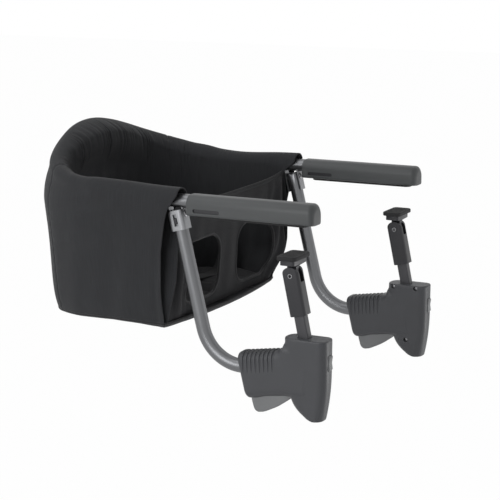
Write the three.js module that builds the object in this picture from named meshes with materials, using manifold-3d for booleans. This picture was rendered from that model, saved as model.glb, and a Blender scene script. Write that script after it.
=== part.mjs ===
// Hook-on table chair: a fabric seat on a bent steel tube. Two padded arms lie on the tabletop and two
// folding arms with ratchet clamps grip it from below. Millimetres, Z up. The child faces -Y. The origin
// is midway between the arms, on the table's edge line, at the height of the tabletop.
import * as THREE from 'three';
import { mergeVertices } from 'three/addons/utils/BufferGeometryUtils.js';
import Module from 'manifold-3d';

const wasm = await Module();
wasm.setup();

// Clearances
const fit = 0.3;
const overrun = 4;

// Tubes and overall places
const armSpacing = 387;
const tubeRadius = 10;
const tubeWall = 1.5;
const frameHeight = 21;
const tableThickness = 40;
const tubeSides = 12;

// Upper frame, whose plan is straight at the sides and rounds into the back
const frameFront = -148;
const curveStart = 80;
const frameBack = 296;
const backRise = 61.5;
const cornerShare = 0.585;
const riseShare = 1.1;

// Arm sleeves and their rubber pads
const sleeveRear = 18;
const sleeveBeyond = 32;
const sleeveWidth = 35;
const sleeveCover = 1;
const sleeveShoulder = 13;
const sleeveFoot = 3;
const sleeveNose = 15;
const sleeveRearBevel = 3;
const padThickness = 3;
const padWidth = 26;
const padRear = 0;
const padFront = -168;
const slotLength = 42;
const slotHeight = 5.5;
const slotDepth = 1.8;
const slotRearY = 10;
const slotZ = 11.5;
const armScrewY = 9;
const armScrewHead = 3.6;
const armScrewShank = 1.9;
const armScrewHeadDepth = 2.2;
const armScrewReach = 2.5;

// Fold joint, on a line square to the leaning lower tube
const pivotY = 36.8;
const pivotZ = 0.5;
const tubeLean = 13.66;
const webThickness = 1.8;
const bracketBelow = 22;
const bracketOuterTop = 7;
const bracketInner = 8;
const foldPinRadius = 3;
const foldPinHead = 5;
const foldPinHeadDepth = 1.6;
const buttonTop = 3.8;
const buttonTall = 8.4;
const buttonWide = 4.6;
const buttonProud = 1;
const buttonFlange = 2.2;
const buttonFlangeDepth = 3;
const buttonStem = 6.4;
const buttonSwing = 3.4;

// Lower tube
const straightLength = 166;
const bendRadius = 64;
const tailLength = 51.5;
const socketY = -116.09;
const socketZ = -209.69;

// Clamp housing: head profile by height, grip profile by depth
const headRear = -137;
const headFront = -200.5;
const headTop = -156.5;
const headBottom = -273;
const headHalfWidth = 18;
const headToeHalfWidth = 15.5;
const headCorner = 14.5;
const headTopEdge = 1.4;
const frontSlopeStart = -205;
const toeFront = -190;
const heelStart = -240;
const heelRear = -146;
const toeRear = -164;
const gripRear = -63;
const gripTopRear = -187;
const gripTopNeck = -176;
const gripBottomRear = -250;
const gripBottomNeck = -238;
const gripHalfWidth = 17.5;
const gripCorner = 12;
const gripEndRound = 5;
const gripLean = 0.2;
const grooveCount = 8;
const groovePitch = 6.1;
const grooveFirst = -77;
const grooveTop = -187;
const grooveLength = 27;
const grooveDepth = 1.3;
const grooveWidth = 2.4;
const housingWall = 3.5;

// Housing screws, as offsets in the side view
const screwRearY = -146.5;
const screwFrontY = -184;
const screwUpperZ = -160.6;
const screwLowerY = -168.5;
const screwLowerZ = -246;
const screwHead = 3.2;
const screwHeadDepth = 2;
const screwShank = 1.5;
const screwSunk = 2.6;
const screwEnd = 5;

// Plunger: shaft, shroud and swivelling foot
const shaftLean = 12;
const shaftAnchorY = -160.8;
const shaftAnchorZ = -150;
const shaftDepth = 16;
const shaftWidth = 14;
const shaftCorner = 2;
const shaftBelow = 84;
const shaftSlack = 0.4;
const shaftTravelDown = 20;
const footDrop = 29.792;
const footPinRadius = 3.4;
const footPinBore = 2.2;
const shroudDepth = 25;
const shroudWidth = 23;
const shroudCorner = 6;
const shroudBelow = 57;
const shroudLap = 34;
const lugWidth = 10;
const lugRadius = 7;
const blockWidth = 44;
const blockDepth = 22;
const blockCorner = 4;
const blockHeight = 11;
const neckHeight = 7;
const footPadWidth = 54;
const footPadDepth = 30;
const footPadThickness = 6;
const footPadCorner = 7;

// Trigger and its drive plate, release button and brake plate
const triggerPivotY = -189.5;
const triggerPivotZ = -218;
const triggerPinRadius = 2;
const triggerPinLap = 3;
const triggerBoss = 4.2;
const triggerHalfWidth = 10.5;
const triggerArm = 3.2;
const triggerRear = -87;
const triggerTipY = -96;
const triggerTipZ = -268;
const triggerHeelZ = -237;
const triggerLift = 9;
const triggerRoom = 5;
const noseY = -171;
const noseHeight = 2.4;
const plateThickness = 3;
const plateRise = 2.2;
const plateWidth = 24;
const plateRear = 15;
const plateFront = 10.5;
const brakeZ = -184;
const brakeRear = 14;
const brakeFront = 17.6;
const springWire = 1;
const springRadius = 11.3;
const springTurns = 4;
const springSteps = 12;
const releaseWidth = 11;
const releaseTop = -178;
const releaseTall = 22;
const releaseDepth = 8.5;
const releaseProud = 1;
const releaseFlange = 2.4;
const releaseFlangeDepth = 4.4;
const releaseCrown = 1.2;
const chamberFront = -193.5;
const chamberRear = -149;
const chamberTop = -169;
const chamberBottom = -226;
const chamberHalfWidth = 12.8;

// Fabric seat
const fabricThickness = 4.5;
const sideTuck = 2;
const backTuck = 8;
const rollTop = 17.9;
const rollOuter = 19;
const rollInner = 14;
const rollBackInner = 27;
const rollBackTop = 21;
const seatFloor = -160;
const sideDraw = 14.3;
const backDraw = 3;
const cornerDraw = 9.7;
const backBulge = 6.5;
const bulgeShare = 0.6;
const backHollow = 12;
const backFoot = 16;
const edgeTopY = 30;
const edgeStep = 0.002;
const sheetThickness = 3;
const ductRadius = 11.5;
const ductReach = 14.5;
const ductLow = 0.84;
const ductBackLow = 0.88;
const ductBackReach = 17;
const seamY = 262;
// Front edge of the side panels as (Z, Y), on the outside and on the inside
const shellEdge = [[-160, 61], [-100, 57], [-56, 52], [-31, 48.5], [-8, 45.5], [11, 42], [17, 37.5], [29, 30], [42, 28]];
const linerEdge = [[-160, 61], [-100, 57], [-56, 54], [-31, 53], [8, 52], [16, 45], [23, 34], [29, 30], [42, 28]];
const pleatCount = 11;
const pleatDepth = 1.3;
const floorThickness = 6;
const floorFrontY = 51;
const floorFrontBow = 4;
const boardThickness = 4;
const boardInset = 8;
const boardFrontY = 78;
const frontPanelTopY = 54;
const frontPanelLowY = 63;
const frontPanelTop = 3;
const frontPanelThickness = 4;
const frontGap = 0.6;
const beltHeight = 56;
const crotchHalf = 28;
const legHoleOuter = 142;
const legHoleBottom = 12;
const legHoleCorner = 30;

// Harness
const strapWidth = 25;
const strapThickness = 1.8;
const buckleWidth = 42;
const buckleDepth = 46;
const buckleThickness = 12;
const buckleCorner = 8;
const buckleY = 150;
const tongueWidth = 20;
const tongueThickness = 4;
const tongueReach = 15;
const tongueGrip = 14;
const crotchWidth = 30;

// Colours
const satinSteel = new THREE.MeshStandardMaterial({ color: 0x8d9093, roughness: 0.35, metalness: 0.9 });
const plateSteel = new THREE.MeshStandardMaterial({ color: 0xa4a7aa, roughness: 0.3, metalness: 0.9 });
const sleevePlastic = new THREE.MeshStandardMaterial({ color: 0x56595b, roughness: 0.55 });
const housingPlastic = new THREE.MeshStandardMaterial({ color: 0x48494d, roughness: 0.5 });
const blackPlastic = new THREE.MeshStandardMaterial({ color: 0x2b2b2f, roughness: 0.45 });
const greyPlastic = new THREE.MeshStandardMaterial({ color: 0x7d7f82, roughness: 0.5 });
const blackRubber = new THREE.MeshStandardMaterial({ color: 0x1d1d1f, roughness: 0.85 });
const blackFabric = new THREE.MeshStandardMaterial({ color: 0x343538, roughness: 0.95 });
const webbing = new THREE.MeshStandardMaterial({ color: 0x202124, roughness: 0.9 });
const boardMaterial = new THREE.MeshStandardMaterial({ color: 0x6a5a48, roughness: 0.8 });

const halfSpacing = armSpacing / 2;
const sleeveFront = frameFront - sleeveBeyond;
const sleeveTop = frameHeight + tubeRadius + sleeveCover;
const triggerPinEnd = triggerHalfWidth + triggerPinLap;
const lean = THREE.MathUtils.degToRad(tubeLean);
const shaftTilt = THREE.MathUtils.degToRad(shaftLean);
const chair = new THREE.Group();

// Solids in and out of the boolean library
function toSolid(geometry) {
  const plain = geometry.clone();
  plain.deleteAttribute('normal');
  plain.deleteAttribute('uv');
  const merged = mergeVertices(plain, 1e-4);
  return new wasm.Manifold(new wasm.Mesh({
    numProp: 3,
    vertProperties: Float32Array.from(merged.attributes.position.array),
    triVerts: Uint32Array.from(merged.index.array),
  }));
}

function toGeometry(solid) {
  const mesh = solid.getMesh();
  const geometry = new THREE.BufferGeometry();
  geometry.setAttribute('position', new THREE.BufferAttribute(Float32Array.from(mesh.vertProperties), 3));
  geometry.setIndex(new THREE.BufferAttribute(Uint32Array.from(mesh.triVerts), 1));
  geometry.computeVertexNormals();
  return geometry;
}

function cut(geometry, ...tools) {
  const solid = tools.reduce((rest, tool) => rest.subtract(toSolid(tool)), toSolid(geometry));
  return toGeometry(solid);
}

function join(...geometries) {
  const solids = geometries.map(toSolid);
  return toGeometry(solids.reduce((whole, solid) => whole.add(solid)));
}

function common(first, second) {
  return toGeometry(toSolid(first).intersect(toSolid(second)));
}

// A closed skin over rings of equal length, with flat ends
function loft(rings) {
  const count = rings[0].length;
  const positions = rings.flat().flatMap((point) => [point.x, point.y, point.z]);
  const index = [];
  for (let row = 0; row < rings.length - 1; row += 1) {
    for (let k = 0; k < count; k += 1) {
      const a = row * count + k;
      const b = row * count + ((k + 1) % count);
      index.push(a, b, b + count, a, b + count, a + count);
    }
  }
  const capOf = (ring, start, flip) => {
    const flat = flattened(ring);
    const turn = THREE.ShapeUtils.isClockWise(flat);
    THREE.ShapeUtils.triangulateShape(turn ? flat.slice().reverse() : flat, []).forEach(([a, b, c]) => {
      const corner = (k) => start + (turn ? count - 1 - k : k);
      index.push(...((turn === flip) ? [corner(a), corner(b), corner(c)] : [corner(a), corner(c), corner(b)]));
    });
  };
  capOf(rings[0], 0, true);
  capOf(rings[rings.length - 1], (rings.length - 1) * count, false);
  const geometry = new THREE.BufferGeometry();
  geometry.setAttribute('position', new THREE.Float32BufferAttribute(positions, 3));
  geometry.setIndex(index);
  return facingOut(geometry);
}

// A ring's points in a plane of its own, seen against the ring's normal
function flattened(ring) {
  const normal = new THREE.Vector3();
  ring.forEach((point, k) => normal.add(new THREE.Vector3().crossVectors(point, ring[(k + 1) % ring.length])));
  normal.normalize();
  const across = new THREE.Vector3().subVectors(ring[1], ring[0]).normalize();
  const up = new THREE.Vector3().crossVectors(normal, across);
  return ring.map((point) => new THREE.Vector2(point.dot(across), point.dot(up)));
}

function signedVolume(geometry) {
  const place = geometry.attributes.position;
  const corners = geometry.index.array;
  const [a, b, c] = [new THREE.Vector3(), new THREE.Vector3(), new THREE.Vector3()];
  let sum = 0;
  for (let k = 0; k < corners.length; k += 3) {
    a.fromBufferAttribute(place, corners[k]);
    b.fromBufferAttribute(place, corners[k + 1]);
    c.fromBufferAttribute(place, corners[k + 2]);
    sum += a.dot(b.cross(c));
  }
  return sum;
}

function turnedInsideOut(geometry) {
  const corners = Array.from(geometry.index.array);
  for (let k = 0; k < corners.length; k += 3) {
    [corners[k + 1], corners[k + 2]] = [corners[k + 2], corners[k + 1]];
  }
  geometry.setIndex(corners);
  return geometry;
}

function facingOut(geometry) {
  const right = signedVolume(geometry) < 0 ? turnedInsideOut(geometry) : geometry;
  right.computeVertexNormals();
  return right;
}

// The same shape for the other side of the chair
function mirrored(geometry) {
  const copy = geometry.index ? geometry.clone() : mergeVertices(geometry);
  copy.deleteAttribute('normal');
  copy.deleteAttribute('uv');
  copy.scale(-1, 1, 1);
  return facingOut(copy);
}

// A path through given stations, which an extrusion follows station by station
class StationPath extends THREE.Curve {
  constructor(stations) {
    super();
    this.stations = stations;
  }

  at(share) {
    return Math.round(share * (this.stations.length - 1));
  }

  getPoint(share) {
    return this.stations[this.at(share)].clone();
  }

  getPointAt(share) {
    return this.getPoint(share);
  }

  getTangentAt(share) {
    const k = this.at(share);
    const before = this.stations[Math.max(k - 1, 0)];
    const after = this.stations[Math.min(k + 1, this.stations.length - 1)];
    return new THREE.Vector3().subVectors(after, before).normalize();
  }
}

function circlePoints(radius, sides) {
  return Array.from({ length: sides }, (_, k) => {
    const angle = (k / sides) * 2 * Math.PI;
    return new THREE.Vector2(radius * Math.cos(angle), radius * Math.sin(angle));
  });
}

function roundedPoints(width, height, corner, segments) {
  const points = [];
  const centres = [[1, 1], [-1, 1], [-1, -1], [1, -1]];
  centres.forEach(([sx, sy], quarter) => {
    for (let k = 0; k <= segments; k += 1) {
      const angle = (quarter + k / segments) * (Math.PI / 2);
      points.push(new THREE.Vector2(
        sx * (width / 2 - corner) + corner * Math.cos(angle),
        sy * (height / 2 - corner) + corner * Math.sin(angle),
      ));
    }
  });
  return points;
}

function extruded(points, depth, holes = []) {
  const shape = new THREE.Shape(points);
  holes.forEach((hole) => shape.holes.push(new THREE.Path(hole)));
  return new THREE.ExtrudeGeometry(shape, { depth, bevelEnabled: false, steps: 1 });
}

// A tube or rod along stations, hollow where a bore is given
function tubeAlong(stations, radius, bore, sides = tubeSides) {
  const shape = new THREE.Shape(circlePoints(radius, sides));
  if (bore > 0) {
    shape.holes.push(new THREE.Path(circlePoints(bore, sides)));
  }
  const extrudePath = new StationPath(stations);
  return new THREE.ExtrudeGeometry(shape, { extrudePath, steps: stations.length - 1, bevelEnabled: false });
}

// An outline in the side view (Y, Z), as thick as given from side to side
function sideExtruded(outline, halfWidth) {
  const points = outline.map(([y, z]) => new THREE.Vector2(y, z));
  const geometry = extruded(points, 2 * halfWidth);
  geometry.translate(0, 0, -halfWidth);
  const swap = new THREE.Matrix4().set(0, 0, 1, 0, 1, 0, 0, 0, 0, 1, 0, 0, 0, 0, 0, 1);
  return geometry.applyMatrix4(swap);
}

function block(x0, x1, y0, y1, z0, z1) {
  const geometry = new THREE.BoxGeometry(x1 - x0, y1 - y0, z1 - z0);
  return geometry.translate((x0 + x1) / 2, (y0 + y1) / 2, (z0 + z1) / 2);
}

// A round bar along X between two places
function rodX(radius, x0, x1, y, z, sides = tubeSides) {
  const geometry = new THREE.CylinderGeometry(radius, radius, x1 - x0, sides);
  return geometry.rotateZ(Math.PI / 2).translate((x0 + x1) / 2, y, z);
}

// A turned piece about X from pairs of (x, radius)
function turnedX(profile, y, z, sides = tubeSides) {
  const points = profile.map(([x, radius]) => new THREE.Vector2(radius, x));
  const geometry = new THREE.LatheGeometry(points, sides);
  return geometry.rotateZ(-Math.PI / 2).translate(0, y, z);
}

// Local frames: the fold joint's leans with the lower tube, the shaft's with the plunger
function leaned(geometry, angle, y, z) {
  return geometry.rotateX(-angle).translate(0, y, z);
}

const atPivot = (geometry) => leaned(geometry, lean, pivotY, pivotZ);
const onShaft = (geometry) => leaned(geometry, shaftTilt, shaftAnchorY, shaftAnchorZ);

function add(name, geometry, material) {
  const mesh = new THREE.Mesh(geometry, material);
  mesh.name = name;
  chair.add(mesh);
}

// Puts one piece on each side of the chair, drawn for the left one with +X outward
function addPair(name, geometry, material) {
  const right = mirrored(geometry);
  add(`${name}_left`, geometry.translate(halfSpacing, 0, 0), material);
  add(`${name}_right`, right.translate(-halfSpacing, 0, 0), material);
}

// Upper frame

// The tube's centre at an angle round the seat, 0 at the left side and 180 degrees at the right
function rimPoint(angle) {
  const cos = Math.cos(angle);
  const sin = Math.max(Math.sin(angle), 0);
  return new THREE.Vector3(
    halfSpacing * Math.sign(cos) * Math.abs(cos) ** cornerShare,
    curveStart + (frameBack - curveStart) * sin ** cornerShare,
    frameHeight + backRise * (1 - Math.abs(cos) ** riseShare),
  );
}

// Angle at which the curve reaches a depth on the left side
function rimAngleAt(y) {
  const share = Math.max((y - curveStart) / (frameBack - curveStart), 0);
  return Math.asin(Math.min(share, 1) ** (1 / cornerShare));
}

function sideStation(y) {
  return y > curveStart ? rimPoint(rimAngleAt(y)) : new THREE.Vector3(halfSpacing, y, frameHeight);
}

const rimDepthShares = [0.1, 0.22, 0.36, 0.5, 0.62, 0.73, 0.82];
const rimTurnShares = [0.6, 0.667, 0.733, 0.8, 0.867, 0.928, 0.978];
const halfRim = [
  ...rimDepthShares.map((share) => sideStation(THREE.MathUtils.lerp(curveStart, frameBack, share))),
  ...rimTurnShares.map((share) => rimPoint(share * (Math.PI / 2))),
];
const acrossMirror = (point) => new THREE.Vector3(-point.x, point.y, point.z);

function rimStations(front) {
  const left = [sideStation(front), sideStation(curveStart), ...halfRim];
  return [...left, ...left.map(acrossMirror).reverse()];
}

// From the sleeve's underside up to the tube's centre
function armScrewHole() {
  const radius = armScrewShank + fit;
  const hole = new THREE.CylinderGeometry(radius, radius, frameHeight - padThickness, tubeSides);
  return hole.rotateX(Math.PI / 2).translate(0, armScrewY, (frameHeight + padThickness) / 2);
}

function buildFrameTube() {
  const tube = tubeAlong(rimStations(frameFront), tubeRadius, tubeRadius - tubeWall);
  const holes = [halfSpacing, -halfSpacing].map((x) => armScrewHole().translate(x, 0, 0));
  add('frame_tube', cut(tube, ...holes), satinSteel);
}

// Arm sleeves

// Half-round section with a flat bottom, shrunk at the sides and the top by an inset
function sleeveRing(y, inset) {
  const half = sleeveWidth / 2 - inset;
  const top = sleeveTop - inset;
  const shoulder = Math.min(sleeveShoulder, half - fit);
  const foot = Math.min(sleeveFoot, half / 2);
  const base = padThickness;
  const ring = [];
  const arc = (cx, cz, radius, from, to, segments) => {
    for (let k = 0; k <= segments; k += 1) {
      const angle = THREE.MathUtils.degToRad(THREE.MathUtils.lerp(from, to, k / segments));
      ring.push(new THREE.Vector3(cx + radius * Math.cos(angle), y, cz + radius * Math.sin(angle)));
    }
  };
  arc(half - foot, base + foot, foot, -90, 0, 2);
  arc(half - shoulder, top - shoulder, shoulder, 0, 90, 4);
  arc(-half + shoulder, top - shoulder, shoulder, 90, 180, 4);
  arc(-half + foot, base + foot, foot, 180, 270, 2);
  return ring;
}

function buildArmSleeves() {
  const rings = [sleeveRing(sleeveRear, sleeveRearBevel), sleeveRing(sleeveRear - sleeveRearBevel, 0)];
  const nose = Array.from({ length: 6 }, (_, k) => THREE.MathUtils.degToRad(90 - 18 * k));
  const front = nose.map((angle) => sleeveRing(
    sleeveFront + sleeveNose * (1 - Math.cos(angle)),
    sleeveNose * (1 - Math.sin(angle)),
  ));
  const body = loft([...rings, ...front]);
  const bore = tubeAlong(
    [new THREE.Vector3(0, sleeveRear + overrun, frameHeight), new THREE.Vector3(0, frameFront - fit, frameHeight)],
    tubeRadius + fit,
    0,
  );
  const slot = roundedPoints(slotLength, slotHeight, slotHeight / 2, 3);
  const slots = [1, -1].map((side) => {
    const tool = extruded(slot, 2 * slotDepth).translate(slotRearY - slotLength / 2, slotZ, -slotDepth);
    tool.rotateY(Math.PI / 2).rotateX(Math.PI / 2);
    return tool.translate(side * (sleeveWidth / 2), 0, 0);
  });
  const headDepth = armScrewHeadDepth + fit;
  const counterbore = new THREE.CylinderGeometry(armScrewHead + fit, armScrewHead + fit, 2 * headDepth, tubeSides);
  counterbore.rotateX(Math.PI / 2).translate(0, armScrewY, padThickness);
  addPair('arm_sleeve', cut(body, bore, ...slots, counterbore, armScrewHole()), sleevePlastic);
}

function buildArmPads() {
  const outline = roundedPoints(padWidth, padRear - padFront, padWidth / 3, 4);
  const pad = extruded(outline, padThickness - fit).translate(0, (padRear + padFront) / 2, 0);
  addPair('arm_pad', pad, blackRubber);
}

function buildArmScrews() {
  const headTop = padThickness + armScrewHeadDepth;
  const tip = frameHeight - tubeRadius + tubeWall + armScrewReach;
  const profile = [[0, padThickness], [armScrewHead, padThickness], [armScrewHead, headTop],
    [armScrewShank, headTop], [armScrewShank, tip], [0, tip]];
  const screw = new THREE.LatheGeometry(profile.map(([radius, z]) => new THREE.Vector2(radius, z)), tubeSides);
  addPair('arm_screw', screw.rotateX(Math.PI / 2).translate(0, armScrewY, 0), plateSteel);
}

// Fold joint

const webInner = tubeRadius + fit;
const webOuter = webInner + webThickness;

function buildFoldBrackets() {
  const top = frameHeight - pivotZ - foldPinRadius;
  const outline = [
    [-bracketInner, -webOuter], [webOuter, -webOuter], [webOuter, webOuter], [-bracketInner, webOuter],
    [-bracketInner, webInner], [webInner, webInner], [webInner, -webInner], [-bracketInner, -webInner],
  ].map(([x, y]) => new THREE.Vector2(x, y));
  const channel = extruded(outline, top + bracketBelow).translate(0, 0, -bracketBelow);
  const high = block(webInner - fit, webOuter + overrun, -2 * webOuter, 2 * webOuter, bracketOuterTop, top + overrun);
  const bolt = new THREE.CylinderGeometry(foldPinRadius + fit, foldPinRadius + fit, 3 * webOuter, tubeSides);
  const window = block(
    webInner - overrun,
    webOuter + overrun,
    -buttonWide / 2 - fit,
    buttonWide / 2 + fit,
    -buttonTop - buttonTall - buttonSwing,
    -buttonTop + fit,
  );
  const saddle = tubeAlong(
    [new THREE.Vector3(0, 0, frameHeight), new THREE.Vector3(0, 2 * pivotY, frameHeight)],
    tubeRadius + fit,
    0,
  );
  const bracket = atPivot(cut(channel, high, bolt, window));
  addPair('fold_bracket', cut(bracket, saddle), plateSteel);
}

function buildFoldPins() {
  const reach = webOuter + fit;
  const profile = [
    [-reach - foldPinHeadDepth, 0], [-reach - foldPinHeadDepth, foldPinHead], [-reach, foldPinHead],
    [-reach, foldPinRadius], [reach, foldPinRadius], [reach, foldPinHead],
    [reach + foldPinHeadDepth, foldPinHead], [reach + foldPinHeadDepth, 0],
  ];
  const pin = new THREE.LatheGeometry(profile.map(([y, radius]) => new THREE.Vector2(radius, y)), tubeSides);
  addPair('fold_pin', atPivot(pin), plateSteel);
}

function buildFoldButtons() {
  const middle = -buttonTop - buttonTall / 2;
  const nose = block(
    buttonStem - fit,
    webOuter + buttonProud,
    -buttonWide / 2,
    buttonWide / 2,
    -buttonTop - buttonTall,
    -buttonTop,
  );
  const flange = block(
    buttonStem - buttonFlangeDepth,
    buttonStem,
    -buttonWide / 2 - buttonFlange,
    buttonWide / 2 + buttonFlange,
    middle - buttonTall / 2 - buttonFlange,
    middle + buttonTall / 2,
  );
  addPair('fold_button', atPivot(join(nose, flange)), blackPlastic);
}

// Lower tubes

// Stations from the rounded top end down the straight, round the bend and into the housing
function lowerTubeStations(top, tail) {
  const down = new THREE.Vector3(0, -Math.sin(lean), -Math.cos(lean));
  const forward = new THREE.Vector3(0, -Math.cos(lean), Math.sin(lean));
  const pivot = new THREE.Vector3(0, pivotY, pivotZ);
  const start = pivot.clone().addScaledVector(down, -top);
  const bendStart = pivot.clone().addScaledVector(down, straightLength);
  const centre = bendStart.clone().addScaledVector(forward, bendRadius);
  const sweep = Math.PI / 2 - lean;
  const stations = [start, bendStart];
  const steps = 7;
  for (let k = 1; k <= steps; k += 1) {
    const angle = (k / steps) * sweep;
    const point = centre.clone().addScaledVector(forward, -bendRadius * Math.cos(angle));
    stations.push(point.addScaledVector(down, bendRadius * Math.sin(angle)));
  }
  const last = stations[stations.length - 1];
  stations.push(new THREE.Vector3(0, last.y - tail, last.z));
  return stations;
}

// The clamp is drawn with the tube's end at the socket's place, and moves with that end
const tubeEnd = lowerTubeStations(0, tailLength).pop();
const clampY = tubeEnd.y - socketY;
const clampZ = tubeEnd.z - socketZ;
const addClampPair = (name, geometry, material) => addPair(name, geometry.translate(0, clampY, clampZ), material);

function buildLowerTubes() {
  const tube = tubeAlong(lowerTubeStations(tubeRadius + fit, tailLength), tubeRadius, tubeRadius - tubeWall);
  const reach = 1.4 * tubeRadius;
  const profile = [[-reach, 0], [-reach, tubeRadius - reach * Math.tan(lean)], [0, tubeRadius], [reach, tubeRadius],
    [reach, 0]];
  const round = new THREE.LatheGeometry(profile.map(([y, radius]) => new THREE.Vector2(radius, y)), 2 * tubeSides);
  const above = block(-2 * tubeRadius, 2 * tubeRadius, -reach + fit, reach - fit, 0, 2 * tubeRadius);
  const crown = atPivot(cut(above, round));
  const bolt = new THREE.CylinderGeometry(foldPinRadius + fit, foldPinRadius + fit, 3 * tubeRadius, tubeSides);
  const window = block(
    tubeRadius / 2,
    2 * tubeRadius,
    -buttonWide / 2 - fit,
    buttonWide / 2 + fit,
    -buttonTop - buttonTall - fit,
    -buttonTop + fit,
  );
  addPair('lower_tube', cut(tube, crown, atPivot(bolt), atPivot(window)), satinSteel);
}

// Clamp housings

// The housing's front edge and heel by height
function headFrontAt(z) {
  const share = THREE.MathUtils.clamp((frontSlopeStart - z) / (frontSlopeStart - headBottom), 0, 1);
  return THREE.MathUtils.lerp(headFront, toeFront, share ** 2);
}

function headRearAt(z) {
  const share = THREE.MathUtils.clamp((heelStart - z) / (heelStart - headBottom), 0, 1);
  return z > heelStart ? headRear : THREE.MathUtils.lerp(heelRear, toeRear, share ** 1.5);
}

function headRing(z, inset) {
  const front = headFrontAt(z) + inset;
  const rear = headRearAt(z) - inset;
  const share = (headTop - z) / (headTop - headBottom);
  const half = THREE.MathUtils.lerp(headHalfWidth, headToeHalfWidth, share) - inset;
  const corner = Math.min(headCorner - inset, (rear - front) / 2 - fit, half - fit);
  return roundedPoints(2 * half, rear - front, corner, 4).map(
    (point) => new THREE.Vector3(point.x, (front + rear) / 2 + point.y, z),
  );
}

function headBody() {
  const heights = [
    [headTop, headTopEdge],
    [headTop - headTopEdge, 0],
    [frontSlopeStart, 0],
    [heelStart, 0],
    [heelStart - fit, 0],
    [THREE.MathUtils.lerp(heelStart, headBottom, 0.4), 0],
    [THREE.MathUtils.lerp(heelStart, headBottom, 0.72), 0],
    [THREE.MathUtils.lerp(heelStart, headBottom, 0.9), headTopEdge],
    [headBottom, 3 * headTopEdge],
  ];
  return loft(heights.map(([z, inset]) => headRing(z, inset)));
}

function gripRing(y, inset, tilt) {
  const share = (gripRear - y) / (gripRear - headRear);
  const top = THREE.MathUtils.lerp(gripTopRear, gripTopNeck, share) - inset;
  const bottom = THREE.MathUtils.lerp(gripBottomRear, gripBottomNeck, share) + inset;
  const middle = (top + bottom) / 2;
  return roundedPoints(2 * (gripHalfWidth - inset), top - bottom, gripCorner, 3).map(
    (point) => new THREE.Vector3(point.x, y + tilt * (middle + point.y - top), middle + point.y),
  );
}

function gripBody() {
  const inside = headRear - gripCorner;
  return loft([
    gripRing(gripRear, gripEndRound, gripLean),
    gripRing(gripRear - gripEndRound * 0.3, gripEndRound * 0.3, gripLean),
    gripRing(gripRear - gripEndRound, 0, gripLean),
    gripRing(inside, 0, 0),
  ]);
}

function grooveTools() {
  return Array.from({ length: grooveCount }, (_, k) => {
    const y = grooveFirst - k * groovePitch;
    const low = grooveTop - grooveLength;
    return [1, -1].map((side) => block(
      side * gripHalfWidth - grooveDepth,
      side * gripHalfWidth + grooveDepth,
      y - grooveWidth / 2,
      y + grooveWidth / 2,
      low,
      grooveTop,
    ));
  }).flat();
}

const screwPlaces = {
  rear: [screwRearY, screwUpperZ],
  front: [screwFrontY, screwUpperZ],
  lower: [screwLowerY, screwLowerZ],
};

// Where a screw's head is seated, on the inner half's face
function screwSeat(z) {
  const share = (headTop - z) / (headTop - headBottom);
  return -THREE.MathUtils.lerp(headHalfWidth, headToeHalfWidth, share) + screwSunk;
}

function screwHoles() {
  return Object.values(screwPlaces).flatMap(([y, z]) => {
    const seat = screwSeat(z) + screwHeadDepth + fit;
    return [
      rodX(screwHead + fit, -2 * headHalfWidth, seat, y, z),
      rodX(screwShank + fit, seat - overrun, headHalfWidth - screwEnd + fit, y, z),
    ];
  });
}

function triggerPocket() {
  const roof = triggerHeelZ + triggerLift + 2 * housingWall;
  const outline = [
    [triggerRear + triggerRoom, roof],
    [triggerRear + triggerRoom, headBottom],
    [heelRear + housingWall, headBottom + housingWall * 2],
    [heelRear - fit, screwLowerZ + screwHead],
    [screwLowerY + screwHead, screwLowerZ + 3 * screwHead],
    [triggerPivotY - triggerBoss, triggerPivotZ - 2 * triggerBoss],
    [triggerPivotY - triggerBoss - 2 * fit, triggerPivotZ - triggerBoss],
    [triggerPivotY - triggerBoss - 2 * fit, triggerPivotZ + 2 * triggerBoss],
    [chamberRear, roof],
  ];
  return sideExtruded(outline, triggerHalfWidth + 2 * fit);
}

function housingTools() {
  const channelBelow = shaftBelow + shaftTravelDown + fit;
  const channel = onShaft(block(
    -shaftWidth / 2 - shaftSlack,
    shaftWidth / 2 + shaftSlack,
    -shaftDepth / 2 - shaftSlack,
    shaftDepth / 2 + shaftSlack,
    -channelBelow,
    2 * shaftDepth,
  ));
  const chamber = block(
    -chamberHalfWidth, chamberHalfWidth, chamberFront, chamberRear, chamberBottom, chamberTop,
  );
  const pinHole = rodX(triggerPinRadius + fit, -triggerPinEnd - fit, triggerPinEnd + fit, triggerPivotY, triggerPivotZ);
  const releaseHole = block(
    -releaseWidth / 2 - fit,
    releaseWidth / 2 + fit,
    headFront - overrun,
    chamberFront + overrun,
    releaseTop - releaseTall - fit,
    releaseTop + fit,
  );
  const socket = tubeAlong(lowerTubeStations(tubeRadius, tailLength + fit), tubeRadius + fit, 0);
  socket.translate(0, -clampY, -clampZ);
  return [channel, chamber, pinHole, releaseHole, socket, triggerPocket()];
}

function buildHousings() {
  const body = cut(join(headBody(), gripBody()), ...grooveTools(), ...housingTools());
  const far = 3 * headHalfWidth;
  const outerSide = block(fit / 2, far, toeFront * 2, 0, headBottom * 2, 0);
  const innerSide = block(-far, -fit / 2, toeFront * 2, 0, headBottom * 2, 0);
  addClampPair('housing_outer', cut(common(body, outerSide), ...screwHoles()), housingPlastic);
  addClampPair('housing_inner', cut(common(body, innerSide), ...screwHoles()), housingPlastic);
}

function buildHousingScrews() {
  Object.entries(screwPlaces).forEach(([place, [y, z]]) => {
    const seat = screwSeat(z) + screwHeadDepth;
    const tip = headHalfWidth - screwEnd;
    const profile = [
      [seat - screwHeadDepth, 0], [seat - screwHeadDepth, screwHead], [seat, screwHead],
      [seat, screwShank], [tip, screwShank], [tip, 0],
    ];
    addClampPair(`housing_screw_${place}`, turnedX(profile, y, z), plateSteel);
  });
}

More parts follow.
